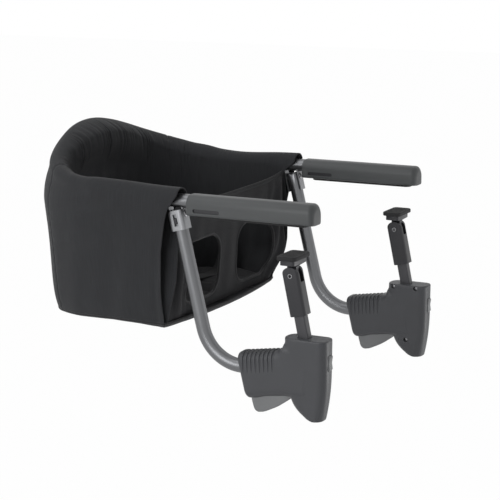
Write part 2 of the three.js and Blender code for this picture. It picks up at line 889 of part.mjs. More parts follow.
// Trigger, drive plate, spring, brake plate and release button

// Height of the trigger's nose, which lifts the drive plate
const drivePlateZ = triggerPivotZ + plateRise;

function buildTriggers() {
  const noseZ = triggerPivotZ + noseHeight / 2;
  const outline = [
    [triggerRear, triggerHeelZ],
    [triggerRear, THREE.MathUtils.lerp(triggerHeelZ, triggerTipZ, 0.4)],
    [THREE.MathUtils.lerp(triggerRear, triggerTipY, 0.6), THREE.MathUtils.lerp(triggerHeelZ, triggerTipZ, 0.92)],
    [triggerTipY, triggerTipZ],
    [THREE.MathUtils.lerp(triggerTipY, heelRear, 0.12), triggerTipZ + fit],
    [THREE.MathUtils.lerp(triggerTipY, heelRear, 0.6), THREE.MathUtils.lerp(triggerTipZ, heelStart, 0.42)],
    [heelRear, heelStart - fit],
    [screwLowerY + screwHead, screwLowerZ + 4 * screwHead],
    [triggerPivotY + triggerBoss * 0.5, triggerPivotZ - triggerBoss],
    [triggerPivotY - triggerBoss * 0.5, triggerPivotZ - triggerBoss * 0.85],
    [triggerPivotY - triggerBoss, triggerPivotZ],
    [triggerPivotY - triggerBoss * 0.5, triggerPivotZ + triggerBoss * 0.7],
    [triggerPivotY + triggerBoss * 0.6, triggerPivotZ + triggerBoss * 0.6],
    [noseY - noseHeight, noseZ],
    [noseY, noseZ],
    [noseY + noseHeight, noseZ - noseHeight],
    [chamberRear, triggerHeelZ + 2 * noseHeight],
    [heelRear + noseHeight, triggerHeelZ],
  ];
  const blade = sideExtruded(outline, triggerHalfWidth);
  const half = triggerHalfWidth - triggerArm;
  const gap = block(-half, half, 2 * chamberFront, chamberRear + fit, headBottom, chamberTop);
  const hole = rodX(triggerPinRadius + fit, -headHalfWidth, headHalfWidth, triggerPivotY, triggerPivotZ);
  addClampPair('trigger', cut(blade, gap, hole), greyPlastic);
}

function buildTriggerPins() {
  const pin = rodX(triggerPinRadius, -triggerPinEnd, triggerPinEnd, triggerPivotY, triggerPivotZ);
  addClampPair('trigger_pin', pin, plateSteel);
}

// A plate square to the shaft with a hole that the shaft slides through, at a height on its axis
function shaftPlate(z, rear, front) {
  const along = (z - shaftAnchorZ) / Math.cos(shaftTilt);
  const outline = [[-plateWidth / 2, -front], [plateWidth / 2, -front], [plateWidth / 2, rear], [-plateWidth / 2, rear]];
  const hole = roundedPoints(shaftWidth + 2 * shaftSlack, shaftDepth + 2 * shaftSlack, shaftCorner, 2);
  const plate = extruded(outline.map(([x, y]) => new THREE.Vector2(x, y)), plateThickness, [hole]);
  return onShaft(plate.translate(0, 0, along));
}

function buildPlates() {
  addClampPair('drive_plate', shaftPlate(drivePlateZ, plateRear, plateFront), plateSteel);
  addClampPair('brake_plate', shaftPlate(brakeZ, brakeRear, brakeFront), plateSteel);
}

function buildDriveSprings() {
  const from = (drivePlateZ - shaftAnchorZ) / Math.cos(shaftTilt) + plateThickness + springWire + fit;
  const to = (brakeZ - shaftAnchorZ) / Math.cos(shaftTilt) - springWire - fit;
  const steps = springTurns * springSteps;
  const stations = Array.from({ length: steps + 1 }, (_, k) => {
    const angle = (k / springSteps) * 2 * Math.PI;
    const z = THREE.MathUtils.lerp(from, to, k / steps);
    return new THREE.Vector3(springRadius * Math.cos(angle), springRadius * Math.sin(angle), z);
  });
  addClampPair('drive_spring', onShaft(tubeAlong(stations, springWire, 0, 5)), plateSteel);
}

function buildReleaseButtons() {
  const half = releaseWidth / 2;
  const low = releaseTop - releaseTall;
  const middle = releaseTop - releaseTall / 2;
  const face = headFront - releaseProud;
  const rear = face + releaseDepth;
  const outline = [
    [rear, low], [rear, releaseTop], [face + releaseCrown, releaseTop], [face, releaseTop - 2 * releaseCrown],
    [face + releaseCrown, middle], [face, low + 2 * releaseCrown], [face + releaseCrown, low],
  ];
  const flange = block(
    -half - releaseFlange,
    half + releaseFlange,
    chamberFront + fit,
    chamberFront + fit + releaseFlangeDepth,
    low - releaseFlange,
    releaseTop + releaseFlange,
  );
  addClampPair('release_button', join(sideExtruded(outline, half), flange), greyPlastic);
}

// Plunger and foot, whose pivot is on the shaft's axis at a drop below the table
const footPivotZ = -tableThickness - footDrop;
const footPinAbove = (footPivotZ - clampZ - shaftAnchorZ) / Math.cos(shaftTilt);
const footPivotY = clampY + shaftAnchorY + footPinAbove * Math.sin(shaftTilt);

function buildPlunger() {
  const outline = roundedPoints(shaftWidth, shaftDepth, shaftCorner, 2);
  const top = footPinAbove - lugRadius - neckHeight;
  const shaft = extruded(outline, shaftBelow + top).translate(0, 0, -shaftBelow);
  addClampPair('plunger_shaft', onShaft(shaft), blackPlastic);
}

function buildShrouds() {
  const bottom = footPinAbove - shroudBelow;
  const crown = shroudDepth / 2;
  const outline = roundedPoints(shroudWidth, shroudDepth, shroudCorner, 3);
  const body = extruded(outline, shroudBelow + crown).translate(0, 0, bottom);
  const knuckle = rodX(crown, -shroudWidth, shroudWidth, 0, footPinAbove, 2 * tubeSides);
  const above = block(-shroudWidth, shroudWidth, -shroudDepth, shroudDepth, footPinAbove, footPinAbove + 2 * crown);
  const clevis = block(
    -lugWidth / 2 - fit,
    lugWidth / 2 + fit,
    -shroudDepth,
    shroudDepth,
    footPinAbove - lugRadius - neckHeight / 2,
    footPinAbove + 2 * crown,
  );
  const socketTop = footPinAbove - lugRadius - neckHeight + fit;
  const socket = block(
    -shaftWidth / 2 - fit,
    shaftWidth / 2 + fit,
    -shaftDepth / 2 - fit,
    shaftDepth / 2 + fit,
    bottom - overrun,
    socketTop,
  );
  const hole = rodX(footPinRadius + fit, -shroudWidth, shroudWidth, 0, footPinAbove);
  const shroud = cut(body, cut(above, knuckle), clevis, socket, hole);
  addClampPair('shaft_shroud', onShaft(shroud), blackPlastic);
}

function buildFootPins() {
  const half = shroudWidth / 2;
  const pin = cut(
    rodX(footPinRadius, -half, half, footPivotY, footPivotZ),
    rodX(footPinBore, -shroudWidth, shroudWidth, footPivotY, footPivotZ),
  );
  addPair('foot_pin', pin, plateSteel);
}

function ringAt(width, depth, corner, z) {
  return roundedPoints(width, depth, corner, 3).map(
    (point) => new THREE.Vector3(point.x, footPivotY + point.y, z),
  );
}

function buildFoot() {
  const top = -tableThickness - footPadThickness - fit;
  const shoulder = top - blockHeight;
  const clearOfKnuckle = footPivotZ + shroudDepth / 2 + fit * 2;
  const lug = sideExtruded(
    circlePoints(lugRadius, 2 * tubeSides).map((point) => [footPivotY + point.x, footPivotZ + point.y]),
    lugWidth / 2,
  );
  const stalk = block(
    -lugWidth / 2, lugWidth / 2, footPivotY - lugRadius, footPivotY + lugRadius, footPivotZ, clearOfKnuckle + neckHeight / 2,
  );
  const corner = Math.min(blockCorner, lugWidth / 3);
  const body = loft([
    ringAt(lugWidth, 2 * lugRadius, corner, clearOfKnuckle),
    ringAt(blockWidth, blockDepth, blockCorner, Math.max(shoulder, clearOfKnuckle + neckHeight / 2)),
    ringAt(blockWidth, blockDepth, blockCorner, top),
  ]);
  const hole = rodX(footPinRadius + fit, -lugWidth, lugWidth, footPivotY, footPivotZ);
  addPair('foot_block', cut(join(body, lug, stalk), hole), blackPlastic);
  const pad = extruded(roundedPoints(footPadWidth, footPadDepth, footPadCorner, 4), footPadThickness);
  pad.translate(0, footPivotY, -tableThickness - footPadThickness);
  addPair('foot_pad', pad, blackRubber);
}

// Fabric seat

// Places round the rim, each with the direction that points out of the seat in plan
function rimPlace(angle) {
  const step = 1e-4;
  const along = new THREE.Vector3().subVectors(rimPoint(angle + step), rimPoint(angle - step));
  const outward = new THREE.Vector3(along.y, -along.x, 0).normalize();
  return { tube: rimPoint(angle), outward };
}

function sidePlace(y) {
  const straight = { tube: new THREE.Vector3(halfSpacing, y, frameHeight), outward: new THREE.Vector3(1, 0, 0) };
  return y > curveStart + fit ? rimPlace(rimAngleAt(y)) : straight;
}

// Offset of the seat's inner face from the tube by its drop below the tube, at the sides and at the back
const sideLiner = [[0, -rollInner], [1, rollOuter - sideDraw - fabricThickness]];
const backLiner = [[-0.03, -rollBackInner], [0.07, -rollBackInner], [0.16, -(rollBackInner + backHollow) / 2],
  [0.25, -backHollow], [0.55, -backHollow], [1, -backFoot]];
const linerDrops = [-0.03, 0.07, 0.15, 0.24, 0.4, 0.55, 0.8, 1];
const shellDrops = [1, 0.93, 0.7, 0.4, 0.15];

function along(table, drop) {
  const k = Math.min(Math.max(table.findIndex(([place]) => place >= drop), 1), table.length - 1);
  const [[from, low], [to, high]] = [table[k - 1], table[k]];
  return THREE.MathUtils.lerp(low, high, THREE.MathUtils.clamp((drop - from) / (to - from), 0, 1));
}

function shellOffset(drop, backShare) {
  const draw = THREE.MathUtils.lerp(sideDraw, backDraw, backShare) + cornerDraw * 4 * backShare * (1 - backShare);
  const bulge = backBulge * backShare * Math.sin(Math.PI * Math.min(drop / bulgeShare, 1));
  return rollOuter - draw * drop + bulge;
}

function footOffset(backShare) {
  return shellOffset(1, backShare) - THREE.MathUtils.lerp(sideTuck, backTuck, backShare);
}

function linerOffset(drop, backShare) {
  const offset = THREE.MathUtils.lerp(along(sideLiner, drop), along(backLiner, drop), backShare);
  const shell = drop < 1 ? shellOffset(Math.max(drop, 0), backShare) : footOffset(backShare);
  return Math.min(offset, shell - fabricThickness / 2);
}

// Outside of one upright section of the fabric, as pairs of (outward offset from the tube, height)
function wallSection(tube, backShare, pleat) {
  const height = tube.z - seatFloor;
  const rise = THREE.MathUtils.lerp(rollTop, rollBackTop, backShare) + pleat;
  const inner = -linerOffset(0, backShare);
  const middle = (rollOuter - inner) / 2;
  const reach = (rollOuter + inner) / 2;
  const shell = shellDrops.map((drop) => {
    const offset = drop === 1 ? footOffset(backShare) : shellOffset(drop, backShare);
    return [offset, tube.z - height * drop];
  });
  const roll = [0, 35, 65, 90, 115, 145].map((degrees) => {
    const angle = THREE.MathUtils.degToRad(degrees);
    return [middle + (reach + pleat / 2) * Math.cos(angle), tube.z + rise * Math.sin(angle)];
  });
  const liner = linerDrops.map((drop) => {
    const ripple = drop < 0.1 ? pleat : 0;
    return [linerOffset(drop, backShare) - ripple, tube.z - height * drop];
  });
  return [...shell, ...roll, ...liner];
}

// Hollow of the same section, between shell and liner and round the tube
function ductSection(tube, backShare) {
  const height = tube.z - seatFloor;
  const low = THREE.MathUtils.lerp(ductLow, ductBackLow, backShare);
  const drops = [1, 0.6, 0.3, 0].map((share) => share * low);
  const reach = THREE.MathUtils.lerp(ductReach, ductBackReach, backShare);
  const shell = drops.map((drop) => [
    Math.min(shellOffset(drop, backShare) - sheetThickness, reach - fit * drop),
    tube.z - height * drop,
  ]);
  const roof = [45, 90, 135].map((degrees) => {
    const angle = THREE.MathUtils.degToRad(degrees);
    return [ductRadius * Math.cos(angle), tube.z + ductRadius * Math.sin(angle)];
  });
  const liner = drops.slice().reverse().map((drop) => [
    Math.max(linerOffset(drop, backShare) + sheetThickness, -ductRadius + fit * drop),
    tube.z - height * drop,
  ]);
  return [...shell, ...roof, ...liner];
}

function wallLoft(places, sectionAt) {
  return loft(places.map(({ tube, outward }, k) => {
    const backShare = THREE.MathUtils.smoothstep(tube.y, curveStart, frameBack);
    return sectionAt(tube, backShare, k).map(([offset, z]) => (
      new THREE.Vector3(tube.x + outward.x * offset, tube.y + outward.y * offset, z)
    ));
  }));
}

// The hem that the frame tube runs through
function hemBore() {
  return tubeAlong(rimStations(-overrun), tubeRadius + fit, 0);
}

// Takes away what lies in front of an edge, given as (Z, Y), between two offsets from the tube
function edgeTool(edge, x0, x1) {
  const front = edgeTopY - 3 * overrun;
  const low = edge[0];
  const high = edge[edge.length - 1];
  const outline = [[front, low[0] - overrun], [low[1], low[0] - overrun], ...edge.map(([z, y]) => [y, z]),
    [high[1], high[0] + overrun], [front, high[0] + overrun]];
  return sideExtruded(outline, (x1 - x0) / 2).translate(halfSpacing + (x0 + x1) / 2, 0, 0);
}

const sideDepthShares = [0, 0.275, 0.55, 0.742, 0.89];

function buildSidePanels() {
  const depths = sideDepthShares.map((share) => THREE.MathUtils.lerp(curveStart, seamY, share));
  const places = [edgeTopY - overrun, ...depths, seamY - fit].map(sidePlace);
  const duct = [edgeTopY - 2 * overrun, ...depths, seamY + overrun].map(sidePlace);
  const wall = wallLoft(places, (tube, share) => wallSection(tube, share, 0));
  const edges = [edgeTool(shellEdge, 0, 2 * rollOuter), edgeTool(linerEdge, -2 * rollOuter, 0)];
  const left = cut(wall, wallLoft(duct, ductSection), hemBore(), ...edges);
  const right = mirrored(left);
  add('side_panel_left', left, blackFabric);
  add('side_panel_right', right, blackFabric);
}

function buildBackPanel() {
  const first = rimAngleAt(seamY + fit);
  const places = (count, start) => Array.from({ length: count + 1 }, (_, k) => (
    rimPlace(THREE.MathUtils.lerp(start, Math.PI - start, k / count))
  ));
  const steps = 2 * pleatCount;
  const pleats = (k) => (k % 2) * pleatDepth * Math.sin((k / steps) * Math.PI);
  const shell = wallLoft(places(steps, first), (tube, share, k) => wallSection(tube, share, pleats(k)));
  const duct = wallLoft(places(pleatCount, rimAngleAt(seamY - overrun)), ductSection);
  add('back_panel', cut(shell, duct, hemBore()), blackFabric);
}

// Plan outline that keeps an offset from the rim's line, with a front edge that bows forward
function floorOutline(offsetAt, frontY, bow) {
  const steps = 16;
  const curve = Array.from({ length: steps + 1 }, (_, k) => {
    const { tube, outward } = rimPlace(THREE.MathUtils.lerp(edgeStep, Math.PI - edgeStep, k / steps));
    const backShare = THREE.MathUtils.smoothstep(tube.y, curveStart, frameBack);
    const offset = offsetAt(backShare);
    return new THREE.Vector2(tube.x + outward.x * offset, tube.y + outward.y * offset);
  });
  const width = curve[0].x;
  const front = [-1, -0.5, 0, 0.5, 1].map(
    (share) => new THREE.Vector2(share * width, frontY - bow * (1 - share * share)),
  );
  return [...curve, ...front];
}

function buildFloor() {
  const edge = shellEdge[0][1];
  const floor = extruded(floorOutline(footOffset, edge, edge - floorFrontY + floorFrontBow), floorThickness);
  add('seat_floor', floor.translate(0, 0, seatFloor - fit - floorThickness), blackFabric);
  const board = extruded(floorOutline((share) => linerOffset(1, share) - boardInset, boardFrontY, 0), boardThickness);
  add('seat_board', board.translate(0, 0, seatFloor), boardMaterial);
}

// Inner face of the left side panel at a depth and a height
function innerFaceAt(y, z) {
  const { tube, outward } = sidePlace(y);
  const backShare = THREE.MathUtils.smoothstep(tube.y, curveStart, frameBack);
  return tube.x + outward.x * linerOffset((tube.z - z) / (tube.z - seatFloor), backShare);
}

function buildFrontPanel() {
  const low = seatFloor;
  const topHalf = innerFaceAt(frontPanelTopY, frontPanelTop) - frontGap;
  const lowHalf = innerFaceAt(frontPanelLowY, low) - frontGap;
  const outline = [[-lowHalf, low], [lowHalf, low], [topHalf, frontPanelTop], [-topHalf, frontPanelTop]];
  const holeTop = frontPanelTop - beltHeight;
  const holeLow = low + legHoleBottom;
  const holeWidth = legHoleOuter - crotchHalf;
  const holes = [1, -1].map((side) => roundedPoints(holeWidth, holeTop - holeLow, legHoleCorner, 5).map(
    (point) => new THREE.Vector2(side * (crotchHalf + holeWidth / 2) + point.x, (holeTop + holeLow) / 2 + point.y),
  ));
  const panel = extruded(outline.map(([x, z]) => new THREE.Vector2(x, z)), frontPanelThickness, holes);
  const slope = Math.atan2(frontPanelLowY - frontPanelTopY, frontPanelTop - low);
  panel.rotateX(Math.PI / 2).translate(0, frontPanelThickness, -frontPanelTop).rotateX(slope);
  add('front_panel', panel.translate(0, frontPanelTopY, frontPanelTop), blackFabric);
}

// Harness

// A flat strap through points that lie on its middle line, with its width upright or flat
function strap(points, width, across) {
  const rings = points.map((point) => {
    const half = across.clone().multiplyScalar(width / 2);
    const up = new THREE.Vector3(0, 0, strapThickness / 2);
    return [
      point.clone().add(half).add(up),
      point.clone().sub(half).add(up),
      point.clone().sub(half).sub(up),
      point.clone().add(half).sub(up),
    ];
  });
  return loft(rings);
}

function buildHarness() {
  const top = seatFloor + boardThickness;
  const buckleZ = top + fit;
  const outline = roundedPoints(buckleWidth, buckleDepth, buckleCorner, 4);
  const body = extruded(outline, buckleThickness).translate(0, buckleY, buckleZ);
  const tongueZ = buckleZ + buckleThickness / 2;
  const mouth = block(
    buckleWidth / 2 - tongueGrip,
    buckleWidth / 2 + overrun,
    buckleY - tongueWidth / 2 - fit,
    buckleY + tongueWidth / 2 + fit,
    tongueZ - tongueThickness / 2 - fit,
    tongueZ + tongueThickness / 2 + fit,
  );
  add('buckle_body', cut(body, mouth, mirrored(mouth)), blackPlastic);
  const tongue = block(
    buckleWidth / 2 - tongueGrip + fit,
    buckleWidth / 2 + tongueReach,
    buckleY - tongueWidth / 2,
    buckleY + tongueWidth / 2,
    tongueZ - tongueThickness / 2,
    tongueZ + tongueThickness / 2,
  );
  add('buckle_tongue_right', mirrored(tongue), blackPlastic);
  add('buckle_tongue_left', tongue, blackPlastic);
  const start = buckleWidth / 2 + tongueReach + fit;
  const sewnZ = top + 2 * strapWidth;
  const wall = innerFaceAt(buckleY + strapWidth / 2, sewnZ) - strapThickness;
  const waist = strap([
    new THREE.Vector3(start, buckleY, tongueZ),
    new THREE.Vector3(THREE.MathUtils.lerp(start, wall, 0.3), buckleY, top + strapThickness),
    new THREE.Vector3(THREE.MathUtils.lerp(start, wall, 0.75), buckleY, top + strapThickness),
    new THREE.Vector3(wall, buckleY, sewnZ),
  ], strapWidth, new THREE.Vector3(0, 1, 0));
  add('waist_strap_right', mirrored(waist), webbing);
  add('waist_strap_left', waist, webbing);
  const from = frontPanelLowY + frontPanelThickness + frontGap;
  const to = buckleY - buckleDepth / 2 - fit;
  const crotch = strap([
    new THREE.Vector3(0, from, top + 2 * buckleThickness),
    new THREE.Vector3(0, THREE.MathUtils.lerp(from, to, 0.35), top + strapThickness),
    new THREE.Vector3(0, to, top + strapThickness),
  ], crotchWidth, new THREE.Vector3(1, 0, 0));
  add('crotch_strap', crotch, webbing);
}

buildFrameTube();
buildArmSleeves();
buildArmPads();
buildArmScrews();
buildFoldBrackets();
buildFoldPins();
buildFoldButtons();
buildLowerTubes();
buildHousings();
buildHousingScrews();
buildTriggers();
buildTriggerPins();
buildPlates();
buildDriveSprings();
buildReleaseButtons();
buildPlunger();
buildShrouds();
buildFootPins();
buildFoot();
buildSidePanels();
buildBackPanel();
buildFloor();
buildFrontPanel();
buildHarness();

export default chair;
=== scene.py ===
"""Looks of a hook-on chair: a fabric seat on a bent steel tube, two sleeved arms that rest on a mounting
plane, and two folding arms whose clamps grip up against that plane's underside.

Sizes are in millimetres and become metres when a mesh is made. The axes are the frame's: +Y runs to the
seat's back, +X to the seat's left and +Z up, from the front edge of the mounting plane. Pieces that come
in pairs are worked out for the left side and mirrored for the right one.
"""

from __future__ import annotations

import logging
import math
from dataclasses import dataclass, field
from enum import Enum
from typing import Any, Callable, Sequence

import bmesh
import bpy
import numpy as np
from mathutils import Matrix, Vector

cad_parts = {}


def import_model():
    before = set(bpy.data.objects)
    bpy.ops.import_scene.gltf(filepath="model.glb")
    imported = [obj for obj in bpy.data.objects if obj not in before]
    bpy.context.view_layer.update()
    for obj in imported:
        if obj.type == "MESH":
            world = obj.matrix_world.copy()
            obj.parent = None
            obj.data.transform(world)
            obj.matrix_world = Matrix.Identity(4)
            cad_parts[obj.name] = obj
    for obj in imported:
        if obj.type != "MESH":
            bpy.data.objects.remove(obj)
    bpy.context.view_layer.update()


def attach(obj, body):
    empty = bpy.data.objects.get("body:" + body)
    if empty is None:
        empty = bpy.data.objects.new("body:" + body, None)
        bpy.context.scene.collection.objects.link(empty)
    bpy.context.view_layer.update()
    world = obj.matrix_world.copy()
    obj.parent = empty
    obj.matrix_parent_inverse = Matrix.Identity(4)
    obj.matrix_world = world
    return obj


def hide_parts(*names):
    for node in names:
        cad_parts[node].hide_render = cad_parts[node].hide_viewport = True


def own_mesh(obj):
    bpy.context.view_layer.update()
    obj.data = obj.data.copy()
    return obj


Array = np.ndarray
Numbers = Sequence[float]
Piece = bpy.types.Object
Socket = bpy.types.NodeSocket
Place = Callable[[Array], Array]

MM = 0.001
FIT = 0.3
HALF_SPACING = 193.5
STITCH_PITCH = 4.2
CROSS_HALF = 0.45
SIDES = ("left", "right")
LOG = logging.getLogger("hook_on_chair")


# Finishes


class Weave(Enum):
    """Which coordinates a cloth's threads follow."""

    CUT = "the piece's own map, in metres of cloth"
    FRAME = "the object's axes"


class NodeTree:
    """The node tree of a material or of the world while it is put together."""

    def __init__(self, owner: bpy.types.ID) -> None:
        """Starts the tree of a new material or world, with the one shader that it comes with.

        Args:
            owner: the material or world.
        """
        owner.use_nodes = True
        self.tree = owner.node_tree
        self.surface = self.tree.nodes.get("Principled BSDF") or self.tree.nodes["Background"]

    def add(self, kind: str, inputs: dict[Any, Any] | None = None, **settings: Any) -> bpy.types.Node:
        """Adds a node.

        Args:
            kind: the node's type, without the ShaderNode in front.
            inputs: values or output sockets by input name or number.
            **settings: the node's own settings.

        Returns:
            The new node.
        """
        node = self.tree.nodes.new("ShaderNode" + kind)
        for key, value in settings.items():
            setattr(node, key, value)
        for key, value in (inputs or {}).items():
            self.feed(node, key, value)
        return node

    def feed(self, node: bpy.types.Node, key: Any, value: Any) -> None:
        """Sets an input of a node, or links an output socket to it.

        Args:
            node: the node.
            key: the input's name or number.
            value: a value, or another node's output.
        """
        if isinstance(value, Socket):
            self.tree.links.new(value, node.inputs[key])
        else:
            node.inputs[key].default_value = value

    def set(self, **inputs: Any) -> None:
        """Sets inputs of the tree's own shader, with _ for the spaces of their names."""
        for key, value in inputs.items():
            self.feed(self.surface, key.replace("_", " "), value)

    def math(self, operation: str, first: Any, second: Any = 0.0) -> Socket:
        """One sum of two numbers or sockets, and its result."""
        return self.add("Math", {0: first, 1: second}, operation=operation).outputs[0]

    def between(self, factor: Any, low: float, high: float) -> Socket:
        """A factor from 0 to 1 moved to the range from low to high."""
        return self.add("MapRange", {"Value": factor, "To Min": low, "To Max": high}).outputs["Result"]

    def mix(self, factor: Any, first: Any, second: Any) -> Socket:
        """The mix of two colours, and its colour."""
        return self.add("Mix", {0: factor, 6: first, 7: second}, data_type="RGBA").outputs[2]

    def noise(self, vector: Any, grain: float, detail: float = 2.0) -> Socket:
        """Cloudy noise whose blotches are about the given number of millimetres across."""
        return self.add("TexNoise", {"Vector": vector, "Scale": 1 / (grain * MM), "Detail": detail}).outputs["Fac"]

    def stripes(self, vector: Any, pitch: float, direction: str, uneven: float = 0.0) -> Socket:
        """Sine stripes from 0 to 1, a pitch in millimetres apart, that cross an axis, or both if DIAGONAL."""
        inputs = {"Vector": vector, "Scale": math.pi / (10 * pitch * MM), "Distortion": uneven}
        return self.add("TexWave", inputs, bands_direction=direction).outputs["Fac"]

    def stretched(self, vector: Any, scale: Numbers) -> Socket:
        """Coordinates scaled along each axis, which draws a pattern out along the small ones."""
        return self.add("Mapping", {"Vector": vector, "Scale": tuple(scale)}).outputs["Vector"]

    def bump(self, height: Any, depth: float) -> None:
        """Raises the surface by a height from 0 to 1, times a depth in millimetres."""
        node = self.add("Bump", {"Height": height, "Distance": depth * MM, "Strength": 1.0})
        self.set(Normal=node.outputs["Normal"])

    def frame_axes(self) -> Socket:
        """The Object coordinates, which are the frame's axes in metres."""
        return self.add("TexCoord").outputs["Object"]

    def cloth_map(self) -> Socket:
        """The piece's own map, in metres of cloth."""
        return self.add("UVMap", uv_map="cloth").outputs["UV"]


@dataclass(frozen=True)
class Finish:
    """What every finish has: a name, a colour and a roughness."""

    name: str
    colour: tuple[float, float, float]
    roughness: float = 0.5

    def shade(self, share: float) -> tuple[float, float, float, float]:
        """The finish's colour made lighter or darker by a share."""
        return tuple(min(value * share, 1.0) for value in self.colour) + (1.0,)

    def material(self) -> bpy.types.Material:
        """The finish's material, made once.

        Returns:
            The material.
        """
        found = bpy.data.materials.get(self.name)
        if found is None:
            found = bpy.data.materials.new(self.name)
            self.paint(NodeTree(found))
        return found

    def paint(self, tree: NodeTree) -> None:
        """Builds the material in an empty tree."""
        raise NotImplementedError


@dataclass(frozen=True)
class Moulded(Finish):
    """Injection-moulded plastic or rubber with a fine spark-eroded grain and rubbed patches."""

    grain: float = 0.45
    depth: float = 0.035
    patch: float = 38.0
    gloss: float = 0.4
    tones: tuple[float, float] = (0.9, 1.12)
    rubbed: tuple[float, float] = (-0.06, 0.07)

    def paint(self, tree: NodeTree) -> None:
        """Grain as bump, rubbed patches in tone and roughness.

        Args:
            tree: the tree, with only its shader in it.
        """
        axes = tree.frame_axes()
        patches = tree.noise(axes, self.patch, 3)
        fine = tree.noise(axes, self.grain, 1)
        tree.set(Base_Color=tree.mix(patches, *map(self.shade, self.tones)))
        tree.set(Roughness=tree.between(patches, *(self.roughness + step for step in self.rubbed)))
        tree.set(Specular_IOR_Level=self.gloss)
        tree.bump(fine, self.depth)


@dataclass(frozen=True)
class Metal(Finish):
    """Steel with a satin or zinc-plated face."""

    metallic: float = 0.9
    grain: float = 0.6
    depth: float = 0.01
    tones: tuple[float, float] = (0.9, 1.1)
    worn: tuple[float, float] = (-0.05, 0.07)
    patch: float = 24.0

    def paint(self, tree: NodeTree) -> None:
        """Fine grain over broad changes of tone and gloss.

        Args:
            tree: the tree, with only its shader in it.
        """
        axes = tree.frame_axes()
        fine = tree.noise(axes, self.grain, 3)
        broad = tree.noise(axes, self.patch)
        tree.set(Base_Color=tree.mix(fine, *map(self.shade, self.tones)))
        tree.set(Metallic=self.metallic)
        tree.set(Roughness=tree.between(broad, *(self.roughness + step for step in self.worn)))
        tree.bump(fine, self.depth)


@dataclass(frozen=True)
class Woven(Finish):
    """Plain-woven cloth with slubs that run up and down, fine threads and a soft sheen."""

    weave: Weave = Weave.CUT
    thread: float = 0.8
    depth: float = 0.12
    slub: float = 1.5
    contrast: float = 0.16
    sheen: float = 0.12
    blotch: float = 45.0
    drawn_out: float = 0.045
    weft_share: float = 1.15

    def paint(self, tree: NodeTree) -> None:
        """Warp and weft as crossed stripes, slubs as noise drawn out along the warp.

        Args:
            tree: the tree, with only its shader in it.
        """
        cloth = tree.cloth_map() if self.weave is Weave.CUT else tree.frame_axes()
        slubs = tree.noise(tree.stretched(cloth, (1.0, self.drawn_out, 1.0)), self.slub, 3)
        broad = tree.noise(cloth, self.blotch, 2)
        tone = tree.math("ADD", tree.math("MULTIPLY", slubs, 0.75), tree.math("MULTIPLY", broad, 0.25))
        low, high = self.shade(1 - self.contrast), self.shade(1 + self.contrast)
        tree.set(Base_Color=tree.mix(tree.between(tone, -0.7, 1.7), low, high))
        tree.set(Roughness=self.roughness, Sheen_Weight=self.sheen, Sheen_Roughness=0.5)
        tree.set(Specular_IOR_Level=0.25)
        warp = tree.stripes(cloth, self.thread, "X")
        weft = tree.stripes(cloth, self.thread * self.weft_share, "Y")
        threads = tree.math("MAXIMUM", warp, weft)
        tree.bump(tree.math("ADD", threads, tree.math("MULTIPLY", slubs, 1.2)), self.depth)


@dataclass(frozen=True)
class Webbing(Finish):
    """Narrow woven strap with ribs across it and two raised edges."""

    rib: float = 1.6
    depth: float = 0.25

    def paint(self, tree: NodeTree) -> None:
        """Slanting ribs from two crossed sets of stripes.

        Args:
            tree: the tree, with only its shader in it.
        """
        cloth = tree.cloth_map()
        ribs = tree.stripes(cloth, self.rib, "DIAGONAL", 0.6)
        cross = tree.stripes(cloth, self.rib * 0.6, "Y")
        tree.set(Base_Color=tree.mix(ribs, self.shade(0.75), self.shade(1.25)))
        tree.set(Roughness=self.roughness, Sheen_Weight=0.2, Specular_IOR_Level=0.25)
        tree.bump(tree.math("ADD", ribs, tree.math("MULTIPLY", cross, 0.4)), self.depth)


CHARCOAL_CLOTH = Woven("charcoal_cloth", (0.031, 0.032, 0.035), 0.9)
FLOOR_CLOTH = Woven("floor_cloth", (0.030, 0.031, 0.034), 0.9, weave=Weave.FRAME)
# The front panel's cloth is darker than the walls' cloth as painted shade, standing in for the shade over the
# seat's front.
SHADED_FRONT_CLOTH = Woven("shaded_front_cloth", (0.024, 0.024, 0.026), 0.92, sheen=0.08)
PAD_CLOTH = Woven("pad_cloth", (0.024, 0.024, 0.026), 0.92, weave=Weave.FRAME)
EDGE_TAPE = Webbing("edge_tape", (0.024, 0.024, 0.026), 0.85, rib=1.2, depth=0.12)
STRAP_WEBBING = Webbing("strap_webbing", (0.016, 0.016, 0.018), 0.85)
SEWING_THREAD = Moulded("sewing_thread", (0.022, 0.022, 0.024), 0.7, grain=0.25, depth=0.05)
SATIN_TUBE = Metal("satin_tube", (0.165, 0.168, 0.175), 0.36, grain=0.9, depth=0.006)
DARK_ZINC = Metal("dark_zinc", (0.30, 0.30, 0.31), 0.36, grain=1.2, depth=0.006)
ZINC_PLATE = Metal("zinc_plate", (0.27, 0.275, 0.285), 0.42, grain=2.2, depth=0.008)
SLEEVE_GREY = Moulded("sleeve_grey", (0.066, 0.070, 0.072), 0.48)
CLAMP_CHARCOAL = Moulded("clamp_charcoal", (0.062, 0.064, 0.070), 0.47)
SHAFT_BLACK = Metal("shaft_black", (0.05, 0.05, 0.055), 0.4, metallic=0.35, grain=0.8)
SATIN_BLACK = Moulded("satin_black", (0.026, 0.026, 0.030), 0.42)
LEVER_GREY = Moulded("lever_grey", (0.205, 0.21, 0.215), 0.45)
SOFT_RUBBER = Moulded("soft_rubber", (0.018, 0.018, 0.019), 0.8, grain=0.8, depth=0.08)


# Profiles, paths and grids


